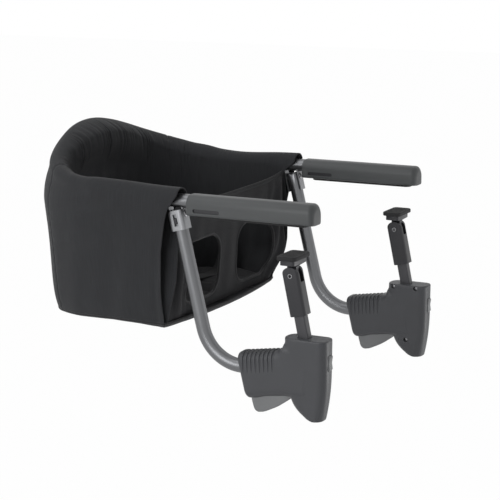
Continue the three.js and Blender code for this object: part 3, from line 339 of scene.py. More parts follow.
def rounded(width: Any, low: Any, high: Any, corner: Any, low_corner: Any = None, steps: int = 8) -> Array:
    """Rounded rectangles: four quarter circles joined by straight sides.

    Args:
        width: full width, one number or one for each section, as the next four are.
        low: height of the lower side.
        high: height of the upper side.
        corner: radius of the upper corners.
        low_corner: radius of the lower corners, the same as the upper ones if left out.
        steps: number of spans in a corner.

    Returns:
        Points (..., 4 * (steps + 1), 2), anticlockwise from the right side.
    """
    quarter = np.repeat(np.arange(4), steps + 1)
    angle = (quarter + np.tile(np.linspace(0, 1, steps + 1), 4)) * math.pi / 2
    side = np.where((quarter == 0) | (quarter == 3), 1.0, -1.0)
    upper = quarter < 2
    given = (width, low, high, corner, corner if low_corner is None else low_corner)
    half, bottom, top, above, below = (np.asarray(value, float)[..., None] for value in given)
    radius = np.where(upper, above, below)
    height = np.where(upper, top - radius, bottom + radius)
    across = side * (half / 2 - radius) + radius * np.cos(angle)
    return np.stack([across, height + radius * np.sin(angle)], axis=-1)


def circle(radius: float, sides: int = 40) -> Array:
    """Points of a circle, anticlockwise."""
    angle = np.arange(sides) * 2 * math.pi / sides
    return np.stack([radius * np.cos(angle), radius * np.sin(angle)], axis=-1)


def curve_through(points: Sequence[Numbers]) -> Array:
    """A Catmull-Rom curve: each span is a cubic whose end slopes follow the neighbouring points.

    Args:
        points: the points that it passes.

    Returns:
        The curve's points.
    """
    given = np.asarray(points, float)
    knots = np.concatenate([2 * given[:1] - given[1:2], given, 2 * given[-1:] - given[-2:-1]])
    a, b, c, d = (knots[k : len(knots) - 3 + k, None] for k in range(4))
    t = np.linspace(0, 1, 12, endpoint=False)[None, :, None]
    spans = 0.5 * (2 * b + (c - a) * t + (2 * a - 5 * b + 4 * c - d) * t**2 + (3 * b - a - 3 * c + d) * t**3)
    return np.concatenate([spans.reshape(-1, given.shape[1]), given[-1:]])


def blend(first: Any, last: Any, share: Any) -> Any:
    """The value that lies a share of the way from the first to the last."""
    return first + (last - first) * share


def bell(distance: Array, width: float) -> Array:
    """A bell curve: 1 at no distance, and 1/e at its width."""
    return np.exp(-((distance / width) ** 2))


def looked_up(at: Array, knots: Array, rows: Array) -> Array:
    """Rows (n, k) at places between their knots (n,)."""
    return np.stack([np.interp(at, knots, column) for column in rows.T], axis=-1)


def unit(vectors: Array) -> Array:
    """Vectors of the same directions, each one long."""
    return vectors / np.maximum(np.linalg.norm(vectors, axis=-1, keepdims=True), 1e-9)


def square_to(line: Array) -> Array:
    """Directions square to a flat line at its points: its slope, turned to its right."""
    slope = unit(np.gradient(line, axis=0))
    return np.stack([slope[:, 1], -slope[:, 0]], axis=-1)


def lengths(points: Array, axis: int = 0) -> Array:
    """Distance along a line of points, or along each line of a grid, from its first point.

    Args:
        points: a line (n, k), or a grid (r, c, k).
        axis: the axis that the lines run along.

    Returns:
        One length for each point.
    """
    step = np.linalg.norm(np.diff(points, axis=axis), axis=-1)
    start = np.zeros_like(np.take(step, [0], axis=axis))
    return np.concatenate([start, np.cumsum(step, axis=axis)], axis=axis)


def spaced(path: Array, spacing: float) -> Array:
    """The same line with its points evenly spaced.

    Args:
        path: points (n, k).
        spacing: about how far apart they are to be.

    Returns:
        The new points, with both ends kept.
    """
    along = lengths(path)
    count = max(int(round(along[-1] / spacing)), 2)
    return looked_up(np.linspace(0, along[-1], count + 1), along, path)


def spaced_ring(outline: Array, spacing: float) -> Array:
    """The same closed outline with its points evenly spaced."""
    return spaced(np.concatenate([outline, outline[:1]]), spacing)[:-1]


def sweep(path: Array, profile: Array, up: Numbers) -> Array:
    """A profile carried along a path, square to it, with its second axis kept towards a direction.

    Args:
        path: points (n, 3).
        profile: points (m, 2), or (n, m, 2) where it changes along the path.
        up: the direction that the profile's second axis leans to.

    Returns:
        Points (n, m + 1, 3), whose last column repeats the first.
    """
    tangent = unit(np.gradient(path, axis=0))
    side = unit(np.cross(tangent, np.asarray(up, float)))
    top = np.cross(side, tangent)
    ring = np.concatenate([profile, profile[..., :1, :]], axis=-2)
    return path[:, None] + ring[..., :1] * side[:, None] + ring[..., 1:] * top[:, None]


def ring_sweep(path: Array, profile: Array, up: Numbers) -> Array:
    """A profile carried round a closed path, whose ends join."""
    return sweep(np.concatenate([path[-2:], path, path[:3]]), profile, up)[2:-2]


def stacked(rings: Sequence[Array], axis: int, places: Numbers) -> Array:
    """Flat rings, each moved to its place along the axis that their points lack."""
    return np.stack([np.insert(ring, axis, place, axis=-1) for ring, place in zip(rings, places)])


def prism(outline: Array, axis: int, places: Numbers) -> Array:
    """One flat outline at every place along the axis that its points lack."""
    return stacked([outline] * len(places), axis, places)


def turned(profile: Array, centre: Numbers, axis: Numbers, sides: int = 40) -> Array:
    """A turned shape: each (distance along the axis, radius) of a profile becomes a ring.

    Args:
        profile: points (n, 2).
        centre: where the axis starts.
        axis: its direction.
        sides: spans round each ring.

    Returns:
        Points (n, sides + 1, 3), whose last column repeats the first.
    """
    line = Vector(axis).normalized()
    first = np.array(line.orthogonal().normalized())
    second = np.cross(np.array(line), first)
    angle = np.linspace(0, 2 * math.pi, sides + 1)
    spoke = np.cos(angle)[:, None] * first + np.sin(angle)[:, None] * second
    return np.asarray(centre, float) + profile[:, None, :1] * np.array(line) + profile[:, None, 1:] * spoke


def area_of(outline: Array) -> float:
    """The area inside a closed outline, half the sum of its corners' cross products; negative if clockwise."""
    x, y = outline.T
    return float(np.sum(x * np.roll(y, -1) - np.roll(x, -1) * y)) / 2


def shrunk(outline: Array, inset: float) -> Array:
    """A closed outline (m, 2), without a repeated end, moved inwards, square to itself, by an inset."""
    tangent = unit(np.roll(outline, -1, axis=0) - np.roll(outline, 1, axis=0))
    return outline + inset * np.sign(area_of(outline)) * np.stack([-tangent[:, 1], tangent[:, 0]], axis=-1)


def slab_rings(outline: Array, low: float, high: float, edge: float, steps: int = 4) -> Array:
    """The rings of a slab with rounded edges: its outline, drawn in along a quarter circle at both faces.

    Args:
        outline: points (m, 2) of the closed outline.
        low: place of the lower face.
        high: place of the upper face.
        edge: radius of the rounding.
        steps: spans in the rounding.

    Returns:
        Points (n, m, 3), the outline's two axes and then the thickness.
    """
    angle = np.linspace(0, math.pi / 2, steps + 1)
    inset = edge * (1 - np.sin(angle))
    rise = edge * (1 - np.cos(angle))
    heights = np.concatenate([low + rise, high - rise[::-1]])
    rings = [shrunk(outline, value) for value in np.concatenate([inset, inset[::-1]])]
    return stacked(rings, 2, heights)


def ripples(at: Array, sizes: Sequence[tuple[float, float, float]]) -> Array:
    """A sum of sine waves, each given as (height, pitch, phase)."""
    return sum(height * np.sin(2 * math.pi * at / pitch + phase) for height, pitch, phase in sizes)


def eased(value: Array, low: float, high: float) -> Array:
    """0 below low, 1 above high and a smooth S between them."""
    share = np.clip((np.asarray(value, float) - low) / (high - low), 0, 1)
    return share * share * (3 - 2 * share)


def in_side_view(points: Array) -> Array:
    """Turns an outline's (Y, Z) and a thickness into X, Y and Z."""
    return points[..., [2, 0, 1]]


@dataclass(frozen=True)
class Leaning:
    """A local frame that leans back from the upright by an angle, about a point of the side view."""

    degrees: float
    y: float
    z: float

    def __call__(self, points: Array) -> Array:
        """Local points moved to the frame.

        Args:
            points: points (..., 3).

        Returns:
            Points of the same shape.
        """
        angle = math.radians(self.degrees)
        x, y, z = np.moveaxis(np.asarray(points, float), -1, 0)
        back = y * math.cos(angle) + z * math.sin(angle)
        up = z * math.cos(angle) - y * math.sin(angle)
        return np.stack([x, back + self.y, up + self.z], axis=-1)


FOLD_AXES = Leaning(13.66, 36.8, 0.5)
SHAFT_AXES = Leaning(12, -160.8, -150)


# Meshes


class Cut(Enum):
    """How a tool changes the piece that it is used on."""

    AWAY = "DIFFERENCE"
    SHARED = "INTERSECT"


class Skin:
    """A mesh while it is put together from grids of points and flat lids."""

    def __init__(self) -> None:
        """Starts with nothing."""
        self.points: list[Array] = []
        self.maps: list[Array] = []
        self.faces: list[list[int]] = []
        self.count = 0

    def _keep(self, points: Array, cloth: Array) -> int:
        """Keeps points and their place on the cloth, and gives the number of the first.

        Args:
            points: points (..., 3).
            cloth: their places on the cloth (..., 2).

        Returns:
            The first point's number.
        """
        first = self.count
        self.points.append(points.reshape(-1, 3))
        self.maps.append(cloth.reshape(-1, 2))
        self.count += points.size // 3
        return first

    @staticmethod
    def _quads(index: Array) -> Array:
        """The corners of the four-sided faces of a grid of point numbers."""
        around = (index[:-1, :-1], index[1:, :-1], index[1:, 1:], index[:-1, 1:])
        return np.stack(around, axis=-1).reshape(-1, 4)

    def grid(self, points: Array) -> Skin:
        """Adds four-sided faces between the rows and columns of a grid, mapped by its lengths both ways.

        Args:
            points: grid (r, c, 3).

        Returns:
            This skin.
        """
        across = lengths(points, axis=1)
        down = lengths(points, axis=0)
        cloth = np.stack([across - across.mean(axis=1, keepdims=True), down], axis=-1) * MM
        first = self._keep(points, cloth)
        index = first + np.arange(points.shape[0] * points.shape[1]).reshape(points.shape[:2])
        self.faces.extend(self._quads(index).tolist())
        return self

    def lid(self, ring: Array) -> Skin:
        """Closes a flat ring of points (m, 3) with one face, and gives this skin back."""
        self.faces.append((self._keep(ring, ring[:, :2] * MM) + np.arange(len(ring))).tolist())
        return self

    def capped(self, rings: Array) -> Skin:
        """Adds a closed tube of rings, given without a repeated column, and a lid at each end."""
        self.grid(np.concatenate([rings, rings[:, :1]], axis=1))
        return self.lid(rings[0]).lid(rings[-1])

    def copies(self, centres: Array, along: Array, up: Array, shape: Array) -> Skin:
        """Adds one small closed shape at each centre.

        Args:
            centres: points (n, 3).
            along: direction (n, 3) of the shape's first axis.
            up: direction (n, 3) of its third axis.
            shape: grid (r, c, 3) in the shape's own axes, with its last column repeated.

        Returns:
            This skin.
        """
        across = np.cross(up, along)
        axes = np.stack([along, across, up], axis=1)
        placed = np.einsum("rck,nkj->nrcj", shape, axes) + centres[:, None, None]
        rows, columns = shape.shape[:2]
        quads = self._quads(np.arange(rows * columns).reshape(rows, columns))
        first = self._keep(placed, np.zeros((*placed.shape[:-1], 2)))
        shift = first + np.arange(len(centres)) * rows * columns
        self.faces.extend((quads[None] + shift[:, None, None]).reshape(-1, 4).tolist())
        return self

    def piece(self, name: str, finish: Finish, sharp: float = 35.0, open_sheet: bool = False) -> Piece:
        """Makes the Blender object.

        Args:
            name: the piece's name.
            finish: what it is made of.
            sharp: edges that turn by more degrees than this stay sharp.
            open_sheet: True for a sheet with edges, whose faces keep the way they were given.

        Returns:
            The object, at the origin, with its place in its mesh.
        """
        mesh = bpy.data.meshes.new(name)
        mesh.from_pydata((np.concatenate(self.points) * MM).tolist(), [], self.faces)
        corners = np.empty(len(mesh.loops), np.int32)
        mesh.loops.foreach_get("vertex_index", corners)
        layer = mesh.uv_layers.new(name="cloth")
        layer.data.foreach_set("uv", np.concatenate(self.maps)[corners].astype(np.float32).ravel())
        work = bmesh.new()
        work.from_mesh(mesh)
        bmesh.ops.remove_doubles(work, verts=work.verts, dist=0.005 * MM)
        bmesh.ops.dissolve_degenerate(work, edges=work.edges, dist=0.002 * MM)
        if not open_sheet:
            bmesh.ops.recalc_face_normals(work, faces=work.faces)
        work.to_mesh(mesh)
        work.free()
        return dressed(shown(name, mesh), finish, sharp)


def shown(name: str, mesh: bpy.types.Mesh) -> Piece:
    """Puts a mesh in the scene as an object of that name.

    Args:
        name: the name.
        mesh: the mesh.

    Returns:
        The object.
    """
    piece = bpy.data.objects.new(name, mesh)
    bpy.context.scene.collection.objects.link(piece)
    return piece


def dressed(piece: Piece, finish: Finish, sharp: float = 35.0) -> Piece:
    """Gives a piece its finish and smooth shading, with its sharp edges kept.

    Args:
        piece: the piece.
        finish: what it is made of.
        sharp: edges that turn by more degrees than this stay sharp.

    Returns:
        The piece.
    """
    piece.data.materials.clear()
    piece.data.materials.append(finish.material())
    piece.data.shade_smooth()
    piece.data.set_sharp_from_angle(angle=math.radians(sharp))
    return piece


def settled(piece: Piece) -> Piece:
    """Applies a piece's modifiers.

    Args:
        piece: the piece.

    Returns:
        The piece.
    """
    graph = bpy.context.evaluated_depsgraph_get()
    mesh = bpy.data.meshes.new_from_object(piece.evaluated_get(graph))
    old = piece.data
    piece.modifiers.clear()
    piece.data = mesh
    bpy.data.meshes.remove(old)
    return piece


def worked(piece: Piece, how: Cut, *tools: Piece) -> Piece:
    """Cuts a piece with tools and removes the tools.

    Args:
        piece: the piece.
        how: what a tool does to it.
        *tools: the tools, one after the other.

    Returns:
        The piece.
    """
    for tool in tools:
        change = piece.modifiers.new("cut", "BOOLEAN")
        change.operation, change.solver, change.object = how.value, "EXACT", tool
    settled(piece)
    for tool in tools:
        bpy.data.meshes.remove(tool.data)
    return piece


def melted(piece: Piece, voxel: float, passes: int) -> Piece:
    """Remakes a piece's faces on a grid and evens them out, which rounds its edges and inner corners.

    Args:
        piece: the piece.
        voxel: the grid's spacing.
        passes: how often the faces are evened out.

    Returns:
        The piece.
    """
    remade = piece.modifiers.new("remade", "REMESH")
    remade.mode, remade.voxel_size = "VOXEL", voxel * MM
    even = piece.modifiers.new("even", "SMOOTH")
    even.factor, even.iterations = 0.5, passes
    return settled(piece)


def softened(piece: Piece, edge: float, degrees: float = 35.0) -> Piece:
    """Rounds the sharp edges of a piece by a small radius.

    Args:
        piece: the piece.
        edge: the radius.
        degrees: edges that turn by less are left.

    Returns:
        The piece.
    """
    bevel = piece.modifiers.new("soft edges", "BEVEL")
    bevel.width, bevel.segments = edge * MM, 2
    bevel.limit_method, bevel.angle_limit = "ANGLE", math.radians(degrees)
    return piece


def thicken(piece: Piece, thickness: float, offset: float) -> None:
    """Gives a sheet its thickness, behind its faces if the offset is -1 and to both sides of them if it is 0."""
    wall = piece.modifiers.new("thickness", "SOLIDIFY")
    wall.thickness, wall.offset = thickness * MM, offset


def block(x: Numbers, y: Numbers, z: Numbers, place: Place | None = None) -> Piece:
    """A plain box between two places on each axis, for cutting with.

    Args:
        x: its two places along X.
        y: along Y.
        z: along Z.
        place: the local frame, if it has one.

    Returns:
        The box.
    """
    corners = np.array([[x[i], y[j], z[k]] for k in (0, 1) for j in (0, 1) for i in (0, 1)], float)
    points = place(corners) if place else corners
    faces = [[0, 2, 3, 1], [4, 5, 7, 6], [0, 1, 5, 4], [2, 6, 7, 3], [0, 4, 6, 2], [1, 3, 7, 5]]
    mesh = bpy.data.meshes.new("tool")
    mesh.from_pydata((points * MM).tolist(), [], faces)
    return shown("tool", mesh)


def cutter(rings: Array) -> Piece:
    """A closed shape of rings, for cutting with."""
    return Skin().capped(rings).piece("tool", SATIN_BLACK)


def rod(radius: float, start: Numbers, end: Numbers, sides: int = 40) -> Piece:
    """A plain round bar between two points, for cutting with.

    Args:
        radius: its radius.
        start: one end.
        end: the other end.
        sides: spans round it.

    Returns:
        The bar.
    """
    line = np.array(end, float) - np.array(start, float)
    profile = np.array([[0, radius], [np.linalg.norm(line), radius]])
    return cutter(turned(profile, start, line, sides)[:, :-1])


# Where pieces belong


def belongs(piece: Piece, body: str, slot: str, *nodes: str) -> Piece:
    """Says which body a piece rides on and hides the nodes that it stands for.

    Args:
        piece: the piece.
        body: the body's name.
        slot: the slot's name; not used.
        *nodes: the nodes' names.

    Returns:
        The piece.
    """
    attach(piece, body)
    if nodes:
        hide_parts(*nodes)
    LOG.info("%s rides on %s", piece.name, body)
    return piece


def mirrored(piece: Piece, name: str) -> Piece:
    """The same piece for the other side of the chair, with its faces turned outwards again.

    Args:
        piece: the piece.
        name: the twin's name.

    Returns:
        The twin.
    """
    mesh = piece.data.copy()
    mesh.transform(Matrix.Scale(-1, 4, Vector((1, 0, 0))))
    mesh.flip_normals()
    twin = shown(name, mesh)
    for change in piece.modifiers:
        copy = twin.modifiers.new(change.name, change.type)
        for key in ("width", "segments", "limit_method", "angle_limit", "thickness", "offset", "use_rim"):
            if hasattr(change, key):
                setattr(copy, key, getattr(change, key))
    return twin


def pair(piece: Piece, body: str, slot: str, *nodes: str) -> tuple[Piece, Piece]:
    """Moves a piece drawn about X = 0 to the left arm, gives it a twin and says where both belong.

    Args:
        piece: the left piece, whose name ends in _left.
        body: the body, with {} for the side's name.
        slot: the material slot.
        *nodes: the nodes that each stands for, with {} for the side's name.

    Returns:
        The left piece and the right one.
    """
    piece.data.transform(Matrix.Translation((HALF_SPACING * MM, 0, 0)))
    twin = mirrored(piece, piece.name.replace("_left", "_right"))
    for side, one in (("left", piece), ("right", twin)):
        belongs(one, body.format(side), slot, *(node.format(side) for node in nodes))
    return piece, twin


def refined(node: str, name: str, finish: Finish, edge: float) -> Piece:
    """A copy of a CAD node with its triangles merged into flat faces and its edges rounded.

    Args:
        node: the node's name.
        name: the copy's name.
        finish: what it is made of.
        edge: the edges' radius.

    Returns:
        The copy.
    """
    mesh = bpy.data.objects[node].data.copy()
    work = bmesh.new()
    work.from_mesh(mesh)
    bmesh.ops.remove_doubles(work, verts=work.verts, dist=0.01 * MM)
    bmesh.ops.dissolve_limit(work, angle_limit=math.radians(1), verts=work.verts, edges=work.edges)
    work.to_mesh(mesh)
    work.free()
    return softened(dressed(shown(name, mesh), finish), edge)


# The upper frame's line


@dataclass
class Rim:
    """The line of the frame tube: straight along both arms, then round the seat's back on a superellipse."""

    half_spacing: float = HALF_SPACING
    curve_start: float = 80.0
    back: float = 296.0
    height: float = 21.0
    rise: float = 61.5
    corner_share: float = 0.585
    rise_share: float = 1.1
    front: float = -148.0

    def turn(self, angle: Array) -> Array:
        """Points at angles round the back, from 0 at the left to pi at the right.

        Args:
            angle: the angles.

        Returns:
            Points, with one more axis for X, Y and Z.
        """
        cos, sin = np.cos(angle), np.clip(np.sin(angle), 0, None)
        across = self.half_spacing * np.sign(cos) * np.abs(cos) ** self.corner_share
        depth = blend(self.curve_start, self.back, sin**self.corner_share)
        return np.stack([across, depth, self.height + self.rise * (1 - np.abs(cos) ** self.rise_share)], axis=-1)

    def line(self, front: float, spacing: float) -> Array:
        """Evenly spaced points from the left side's front, round the back, to the right side's.

        Args:
            front: how far forward the line starts.
            spacing: about how far apart the points are.

        Returns:
            Points (n, 3).
        """
        bend = self.turn(math.pi * eased(np.linspace(0, 1, 6000), 0, 1))
        ends = np.array([[self.half_spacing, front, self.height], [-self.half_spacing, front, self.height]])
        return spaced(np.concatenate([ends[:1], bend, ends[1:]]), spacing)


# Fabric seat


@dataclass
class SeatCloth:
    """The cloth of the seat's walls: one sheet that runs up outside, over the frame tube and down inside.

    A place on it is given by two shares. The first runs along the rim from the left front to the right
    front. The second runs over a section: up the outside, round the tube and down the inside.
    """

    rim: Rim
    floor: float = -163.0
    rear_drop: float = 6.5
    outer: float = 19.0
    back_outer: float = 17.0
    side_top: float = 17.9
    back_top: float = 19.0
    near_lift: float = 4.0
    far_lift: float = -4.8
    corner_top: float = 12.4
    corner_outer: float = 13.2
    side_draw: float = 14.3
    back_draw: float = 3.0
    corner_draw: float = 9.7
    back_bulge: float = 7.0
    bulge_drop: float = 0.2
    crest: float = 6.5
    crest_shape: float = 1.38
    side_tuck: float = 2.0
    back_tuck: float = 8.0
    lining_gap: float = 4.5
    front: float = 28.0
    seam_y: float = 253.5
    thickness: float = 1.3
    outside_share: float = 0.43
    roll_share: float = 0.17
    gather_height: float = 2.3
    gather_pitch: float = 13.0
    gather_slant: float = 80.0
    gather_end: float = 0.655
    pucker: float = 0.5
    pucker_width: float = 9.0
    seam_depth: float = 1.0
    seam_width: float = 1.6
    far_slump: float = 32.0
    near_slump: float = 4.0
    seam_in: float = 0.006
    hem_in: float = 0.008
    line: Array = field(init=False)
    out: Array = field(init=False)

    MIDDLE = (55, 150)
    TIGHT_CORNER = (-130, 62)
    REAR_CORNERS = (150, 230)
    BASE_DROP = (110, 280)
    GATHERED = (0.52, 0.575)
    GATHERED_BACK = (0.45, 0.9)
    SLACK_ROWS = (0.7, 1.0)
    SLACK_DEPTHS = (62, 150)
    WANDER = ((6.5, 71, 0.4), (3.6, 43, 2.0), (1.9, 27, 4.1))
    GATHER_END = ((0.018, 67, 0.5), (0.012, 31, 2.0))
    GATHER_STRENGTH = ((0.3, 97, 1.0), (0.24, 41, 2.5))
    HANG = ((0.5, 83, 0.3), (0.35, 47, 1.7))
    LINING_FOLDS = ((1.1, 58, 2.2), (0.7, 31, 0.5))
    PULL = ((0.45, 26, 0.0), (0.3, 15, 2.0))
    CASING_ROWS = (0.40, 0.415)
    OUTSIDE_EDGE = ((-160, 62), (-108, 61.5), (-53, 58.5), (-25, 53.5), (-3, 49), (11, 44), (17, 39), (29, 30))
    LINING_EDGE = (
        (-160, 60), (-130, 52), (-100, 46), (-56, 44), (-31, 45.5), (8, 49), (16, 44), (23, 34), (29, 30),
    )
    SIDE_LINING = ((0, -14.0), (1, 0.2))
    BACK_LINING = ((0, -24.0), (0.06, -26.0), (0.12, -22.0), (0.2, -13.0), (0.36, -9.0), (0.55, -10.5), (1, -16.0))
    CORNER_LINING = ((0, -13.0), (0.36, -11.0), (0.55, -12.0), (1, -16.0))

    def __post_init__(self) -> None:
        """Works out the rim's points and the direction out of the seat at each."""
        self.line = self.rim.line(self.front, 0.5)
        self.out = np.insert(square_to(self.line[:, :2]), 2, 0.0, axis=-1)

    def seam_share(self) -> float:
        """How far along the rim the side's cloth meets the back's."""
        half = len(self.line) // 2
        return float(np.interp(self.seam_y, self.line[:half, 1], np.arange(half))) / (len(self.line) - 1)

    def fullness(self, tube: Array) -> tuple[Array, Array]:
        """How full the roll is: inside, full in the middle of the back only; outside, full everywhere but at
        the back's right corner, where it falls off as a bell curve.

        Args:
            tube: points of the rim's line (..., 3).

        Returns:
            The share inside and the share outside.
        """
        inside = 1 - eased(np.abs(tube[..., 0]), *self.MIDDLE)
        corner, width = self.TIGHT_CORNER
        tight = bell(tube[..., 0] - corner, width) * eased(tube[..., 1], *self.REAR_CORNERS)
        return inside, 1 - tight

    def base(self, y: Array) -> Array:
        """Height of the seat's bottom edge at a depth: lower at the back than at the front."""
        return self.floor - self.rear_drop * eased(y, *self.BASE_DROP)

    def outside_offset(self, drop: Array, back: Array) -> Array:
        """Distance of the outside from the tube's line, by the drop below it and how far back it is.

        Args:
            drop: share of the way down from the rim.
            back: 0 at the sides to 1 at the back.

        Returns:
            The distances: drawn in evenly going down, plus a bulge that rises as drop squared and then dies away.
        """
        draw = blend(self.side_draw, self.back_draw, back) + self.corner_draw * 4 * back * (1 - back)
        share = drop / self.bulge_drop
        bulge = self.back_bulge * back * share**2 * np.exp(2 - 2 * share)
        return blend(self.outer, self.back_outer, back) - draw * drop + bulge

    def lining_offset(self, drop: Array, back: Array, full: Array) -> Array:
        """Distance of the inside from the tube's line, kept clear of the outside.

        Args:
            drop: share of the way down from the rim.
            back: 0 at the sides to 1 at the back.
            full: how full the roll is inside.

        Returns:
            The distances.
        """
        side = np.interp(drop, *zip(*self.SIDE_LINING))
        tight = np.interp(drop, *zip(*self.CORNER_LINING))
        rear = blend(tight, np.interp(drop, *zip(*self.BACK_LINING)), full)
        tuck = blend(self.side_tuck, self.back_tuck, back) * drop**8
        shell = self.outside_offset(drop, back) - tuck
        return np.minimum(blend(side, rear, back), shell - self.lining_gap)

    def gathers(self, along: Array, section: Array, back: Array) -> Array:
        """Pinched folds that cross the roll of the back: rounded ridges with narrow valleys between them.

        Args:
            along: distance along the rim.
            section: share of the way over the section.
            back: 0 at the sides to 1 at the back.

        Returns:
            Heights: two rows of humps, each a sine made positive, of uneven pitch, length and strength.
        """
        wander = ripples(along, self.WANDER)
        phase = (along + wander + self.gather_slant * (section - 0.55)) / self.gather_pitch
        ridge = np.abs(np.sin(math.pi * phase)) ** 0.6 + 0.5 * np.abs(np.sin(math.pi * phase * 1.73 + 1)) - 0.95
        length = self.gather_end + ripples(along, self.GATHER_END)
        reach = eased(section, *self.GATHERED) * (1 - eased(section - length, -0.06, 0.03))
        strength = 0.62 + ripples(along, self.GATHER_STRENGTH)
        return self.gather_height * ridge * reach * strength * eased(back, *self.GATHERED_BACK)

    def creases(self, along: Array, section: Array, drop: Array, back: Array) -> Array:
        """Soft unevenness of hung cloth, pull lines below the back's corners and the puckered side seams.

        Args:
            along: distance along the rim.
            section: share of the way over the section.
            drop: share of the way down from the rim.
            back: 0 at the sides to 1 at the back.

        Returns:
            Heights: sums of sine waves, each faded in and out, and a bell-shaped dip at the seams.
        """
        inside = eased(section, 0.6, 0.64)
        hang = ripples(along + 30 * drop, self.HANG) * eased(drop, 0.05, 0.4)
        folds = inside * ripples(along - 18 * drop, self.LINING_FOLDS) * eased(drop, 0.1, 0.6)
        pull = ripples(drop * 190 + along * 0.35, self.PULL)
        pull *= bell(back - 0.55, 0.3) * (1 - eased(drop, 0.25, 0.6)) * (1 - inside)
        total = lengths(self.line)[-1]
        seam = self.seam_share() * total
        gap = np.minimum(np.abs(along - seam), np.abs(total - along - seam))
        pucker = self.pucker * np.sin(2 * math.pi * section * 34) * bell(gap, self.pucker_width)
        return hang + folds + pull + pucker - self.seam_depth * bell(gap, self.seam_width)

    def slump(self, points: Array, drop: Array) -> Array:
        """Draws the lower front corners in, the far one most, as the slack cloth there hangs.

        Args:
            points: points of the cloth (..., 3).
            drop: share of the way down from the rim.

        Returns:
            The moved points.
        """
        low = eased(drop, *self.SLACK_ROWS) ** 1.5
        near_front = 1 - eased(points[..., 1], *self.SLACK_DEPTHS)
        most = np.where(points[..., 0] > 0, self.far_slump, self.near_slump)
        shift = -np.sign(points[..., 0]) * most * low * near_front
        moved = points.copy()
        moved[..., 0] += shift * np.clip(np.abs(points[..., 0]) / 185, 0, 1) ** 4
        return moved

    def at(self, rim_share: Any, section: Any) -> Array:
        """Points of the cloth.

        Args:
            rim_share: share of the way along the rim, of any shape.
            section: share of the way over the section, of the same shape.

        Returns:
            Points, with one more axis for X, Y and Z.
        """
        rim_share, section = np.broadcast_arrays(np.asarray(rim_share, float), np.asarray(section, float))
        at = rim_share * (len(self.line) - 1)
        index = np.arange(len(self.line))
        tube, out = (looked_up(at, index, rows) for rows in (self.line, self.out))
        back = eased(tube[..., 1], self.rim.curve_start, self.rim.back)
        end = self.outside_share + self.roll_share
        rise = np.clip(1 - section / self.outside_share, 0, 1)
        fall = np.clip((section - end) / (1 - end), 0, 1)
        drop = np.maximum(rise, fall)
        turn = math.pi * np.clip((section - self.outside_share) / self.roll_share, 0, 1)
        full, puffed = self.fullness(tube)
        inner = -self.lining_offset(np.zeros_like(back), back, full)
        lift = np.where(tube[..., 0] < 0, self.near_lift, self.far_lift)
        top = blend(self.side_top, self.back_top, back)
        top = top + lift * bell(tube[..., 1] - 140, 60)
        top = blend(self.corner_top, top, puffed)
        trim = (self.back_outer - self.corner_outer) * (1 - puffed)
        outer = self.outside_offset(np.zeros_like(back), back) - trim
        middle = (outer - inner) / 2 + ((outer + inner) / 2 - self.crest) * back * puffed
        over = turn > math.pi / 2
        power = np.where(over, 1 + (self.crest_shape - 1) * back * puffed, 1.0)
        roll = middle + np.where(over, -(middle + inner), outer - middle) * np.abs(np.cos(turn)) ** power
        lining = self.lining_offset(fall, back, full)
        tuck = blend(self.side_tuck, self.back_tuck, back) * rise**10
        shell = self.outside_offset(rise, back) - tuck - trim * (1 - eased(rise, 0.0, 0.25))
        offset = np.where(fall > 0, lining, np.where(rise > 0, shell, roll))
        height = tube[..., 2] - (tube[..., 2] - self.base(tube[..., 1])) * drop
        height = height + top * np.clip(np.sin(turn), 0, None) ** power * (turn < math.pi)
        along = at / index[-1] * lengths(self.line)[-1]
        proud = self.gathers(along, section, back) + self.creases(along, section, drop, back)
        offset = offset + proud * np.cos(turn)
        height = height + proud * np.sin(turn)
        edge = np.where(
            section < self.outside_share + self.roll_share / 2,
            np.interp(height, *zip(*self.OUTSIDE_EDGE)),
            np.interp(height, *zip(*self.LINING_EDGE)),
        )
        straight = tube[..., 1] < self.rim.curve_start
        share = (tube[..., 1] - self.front) / (self.rim.curve_start - self.front)
        depth = np.where(straight, blend(edge, self.rim.curve_start, share), tube[..., 1])
        points = np.stack([tube[..., 0] + out[..., 0] * offset, depth + out[..., 1] * offset, height], axis=-1)
        return self.slump(points, drop)

    def panel(self, name: str, node: str, start: float, end: float, columns: int) -> None:
        """Makes the cloth between two shares of the rim, with its thickness laid on its inner side.

        Args:
            name: the piece's name.
            node: the node that it stands for.
            start: share of the rim where it starts.
            end: share of the rim where it ends.
            columns: points along the rim.
        """
        points = self.at(np.linspace(start, end, columns)[None, :], np.linspace(0, 1, 120)[:, None])
        piece = Skin().grid(points).piece(name, CHARCOAL_CLOTH, 80, open_sheet=True)
        thicken(piece, self.thickness, -1)
        belongs(piece, "seat", "fabric", node)

    def build(self) -> None:
        """Makes the two side panels, the back panel and their stitching."""
        seam = self.seam_share()
        self.panel("side_cloth_left", "side_panel_left", 0, seam, 130)
        self.panel("side_cloth_right", "side_panel_right", 1 - seam, 1, 130)
        self.panel("back_cloth", "back_panel", seam, 1 - seam, 260)
        self.build_stitching()

    def build_stitching(self) -> None:
        """Sews the hems of the front edges, the casing round the tube and both side seams."""
        round_rim = np.linspace(0.004, 0.996, 1200)
        over_hem, over_seam = np.linspace(0.02, 0.98, 600), np.linspace(0.03, 0.97, 600)
        beside = self.seam_share() - self.seam_in
        rows = (
            ("casing_stitches", [self.at(round_rim, row) for row in self.CASING_ROWS]),
            ("hem_stitches", [self.at(share, over_hem) for share in (self.hem_in, 1 - self.hem_in)]),
            ("seam_stitches", [self.at(share, over_seam) for share in (beside, 1 - beside)]),
        )
        for name, lines in rows:
            belongs(stitches(name, lines), "seat", "fabric")


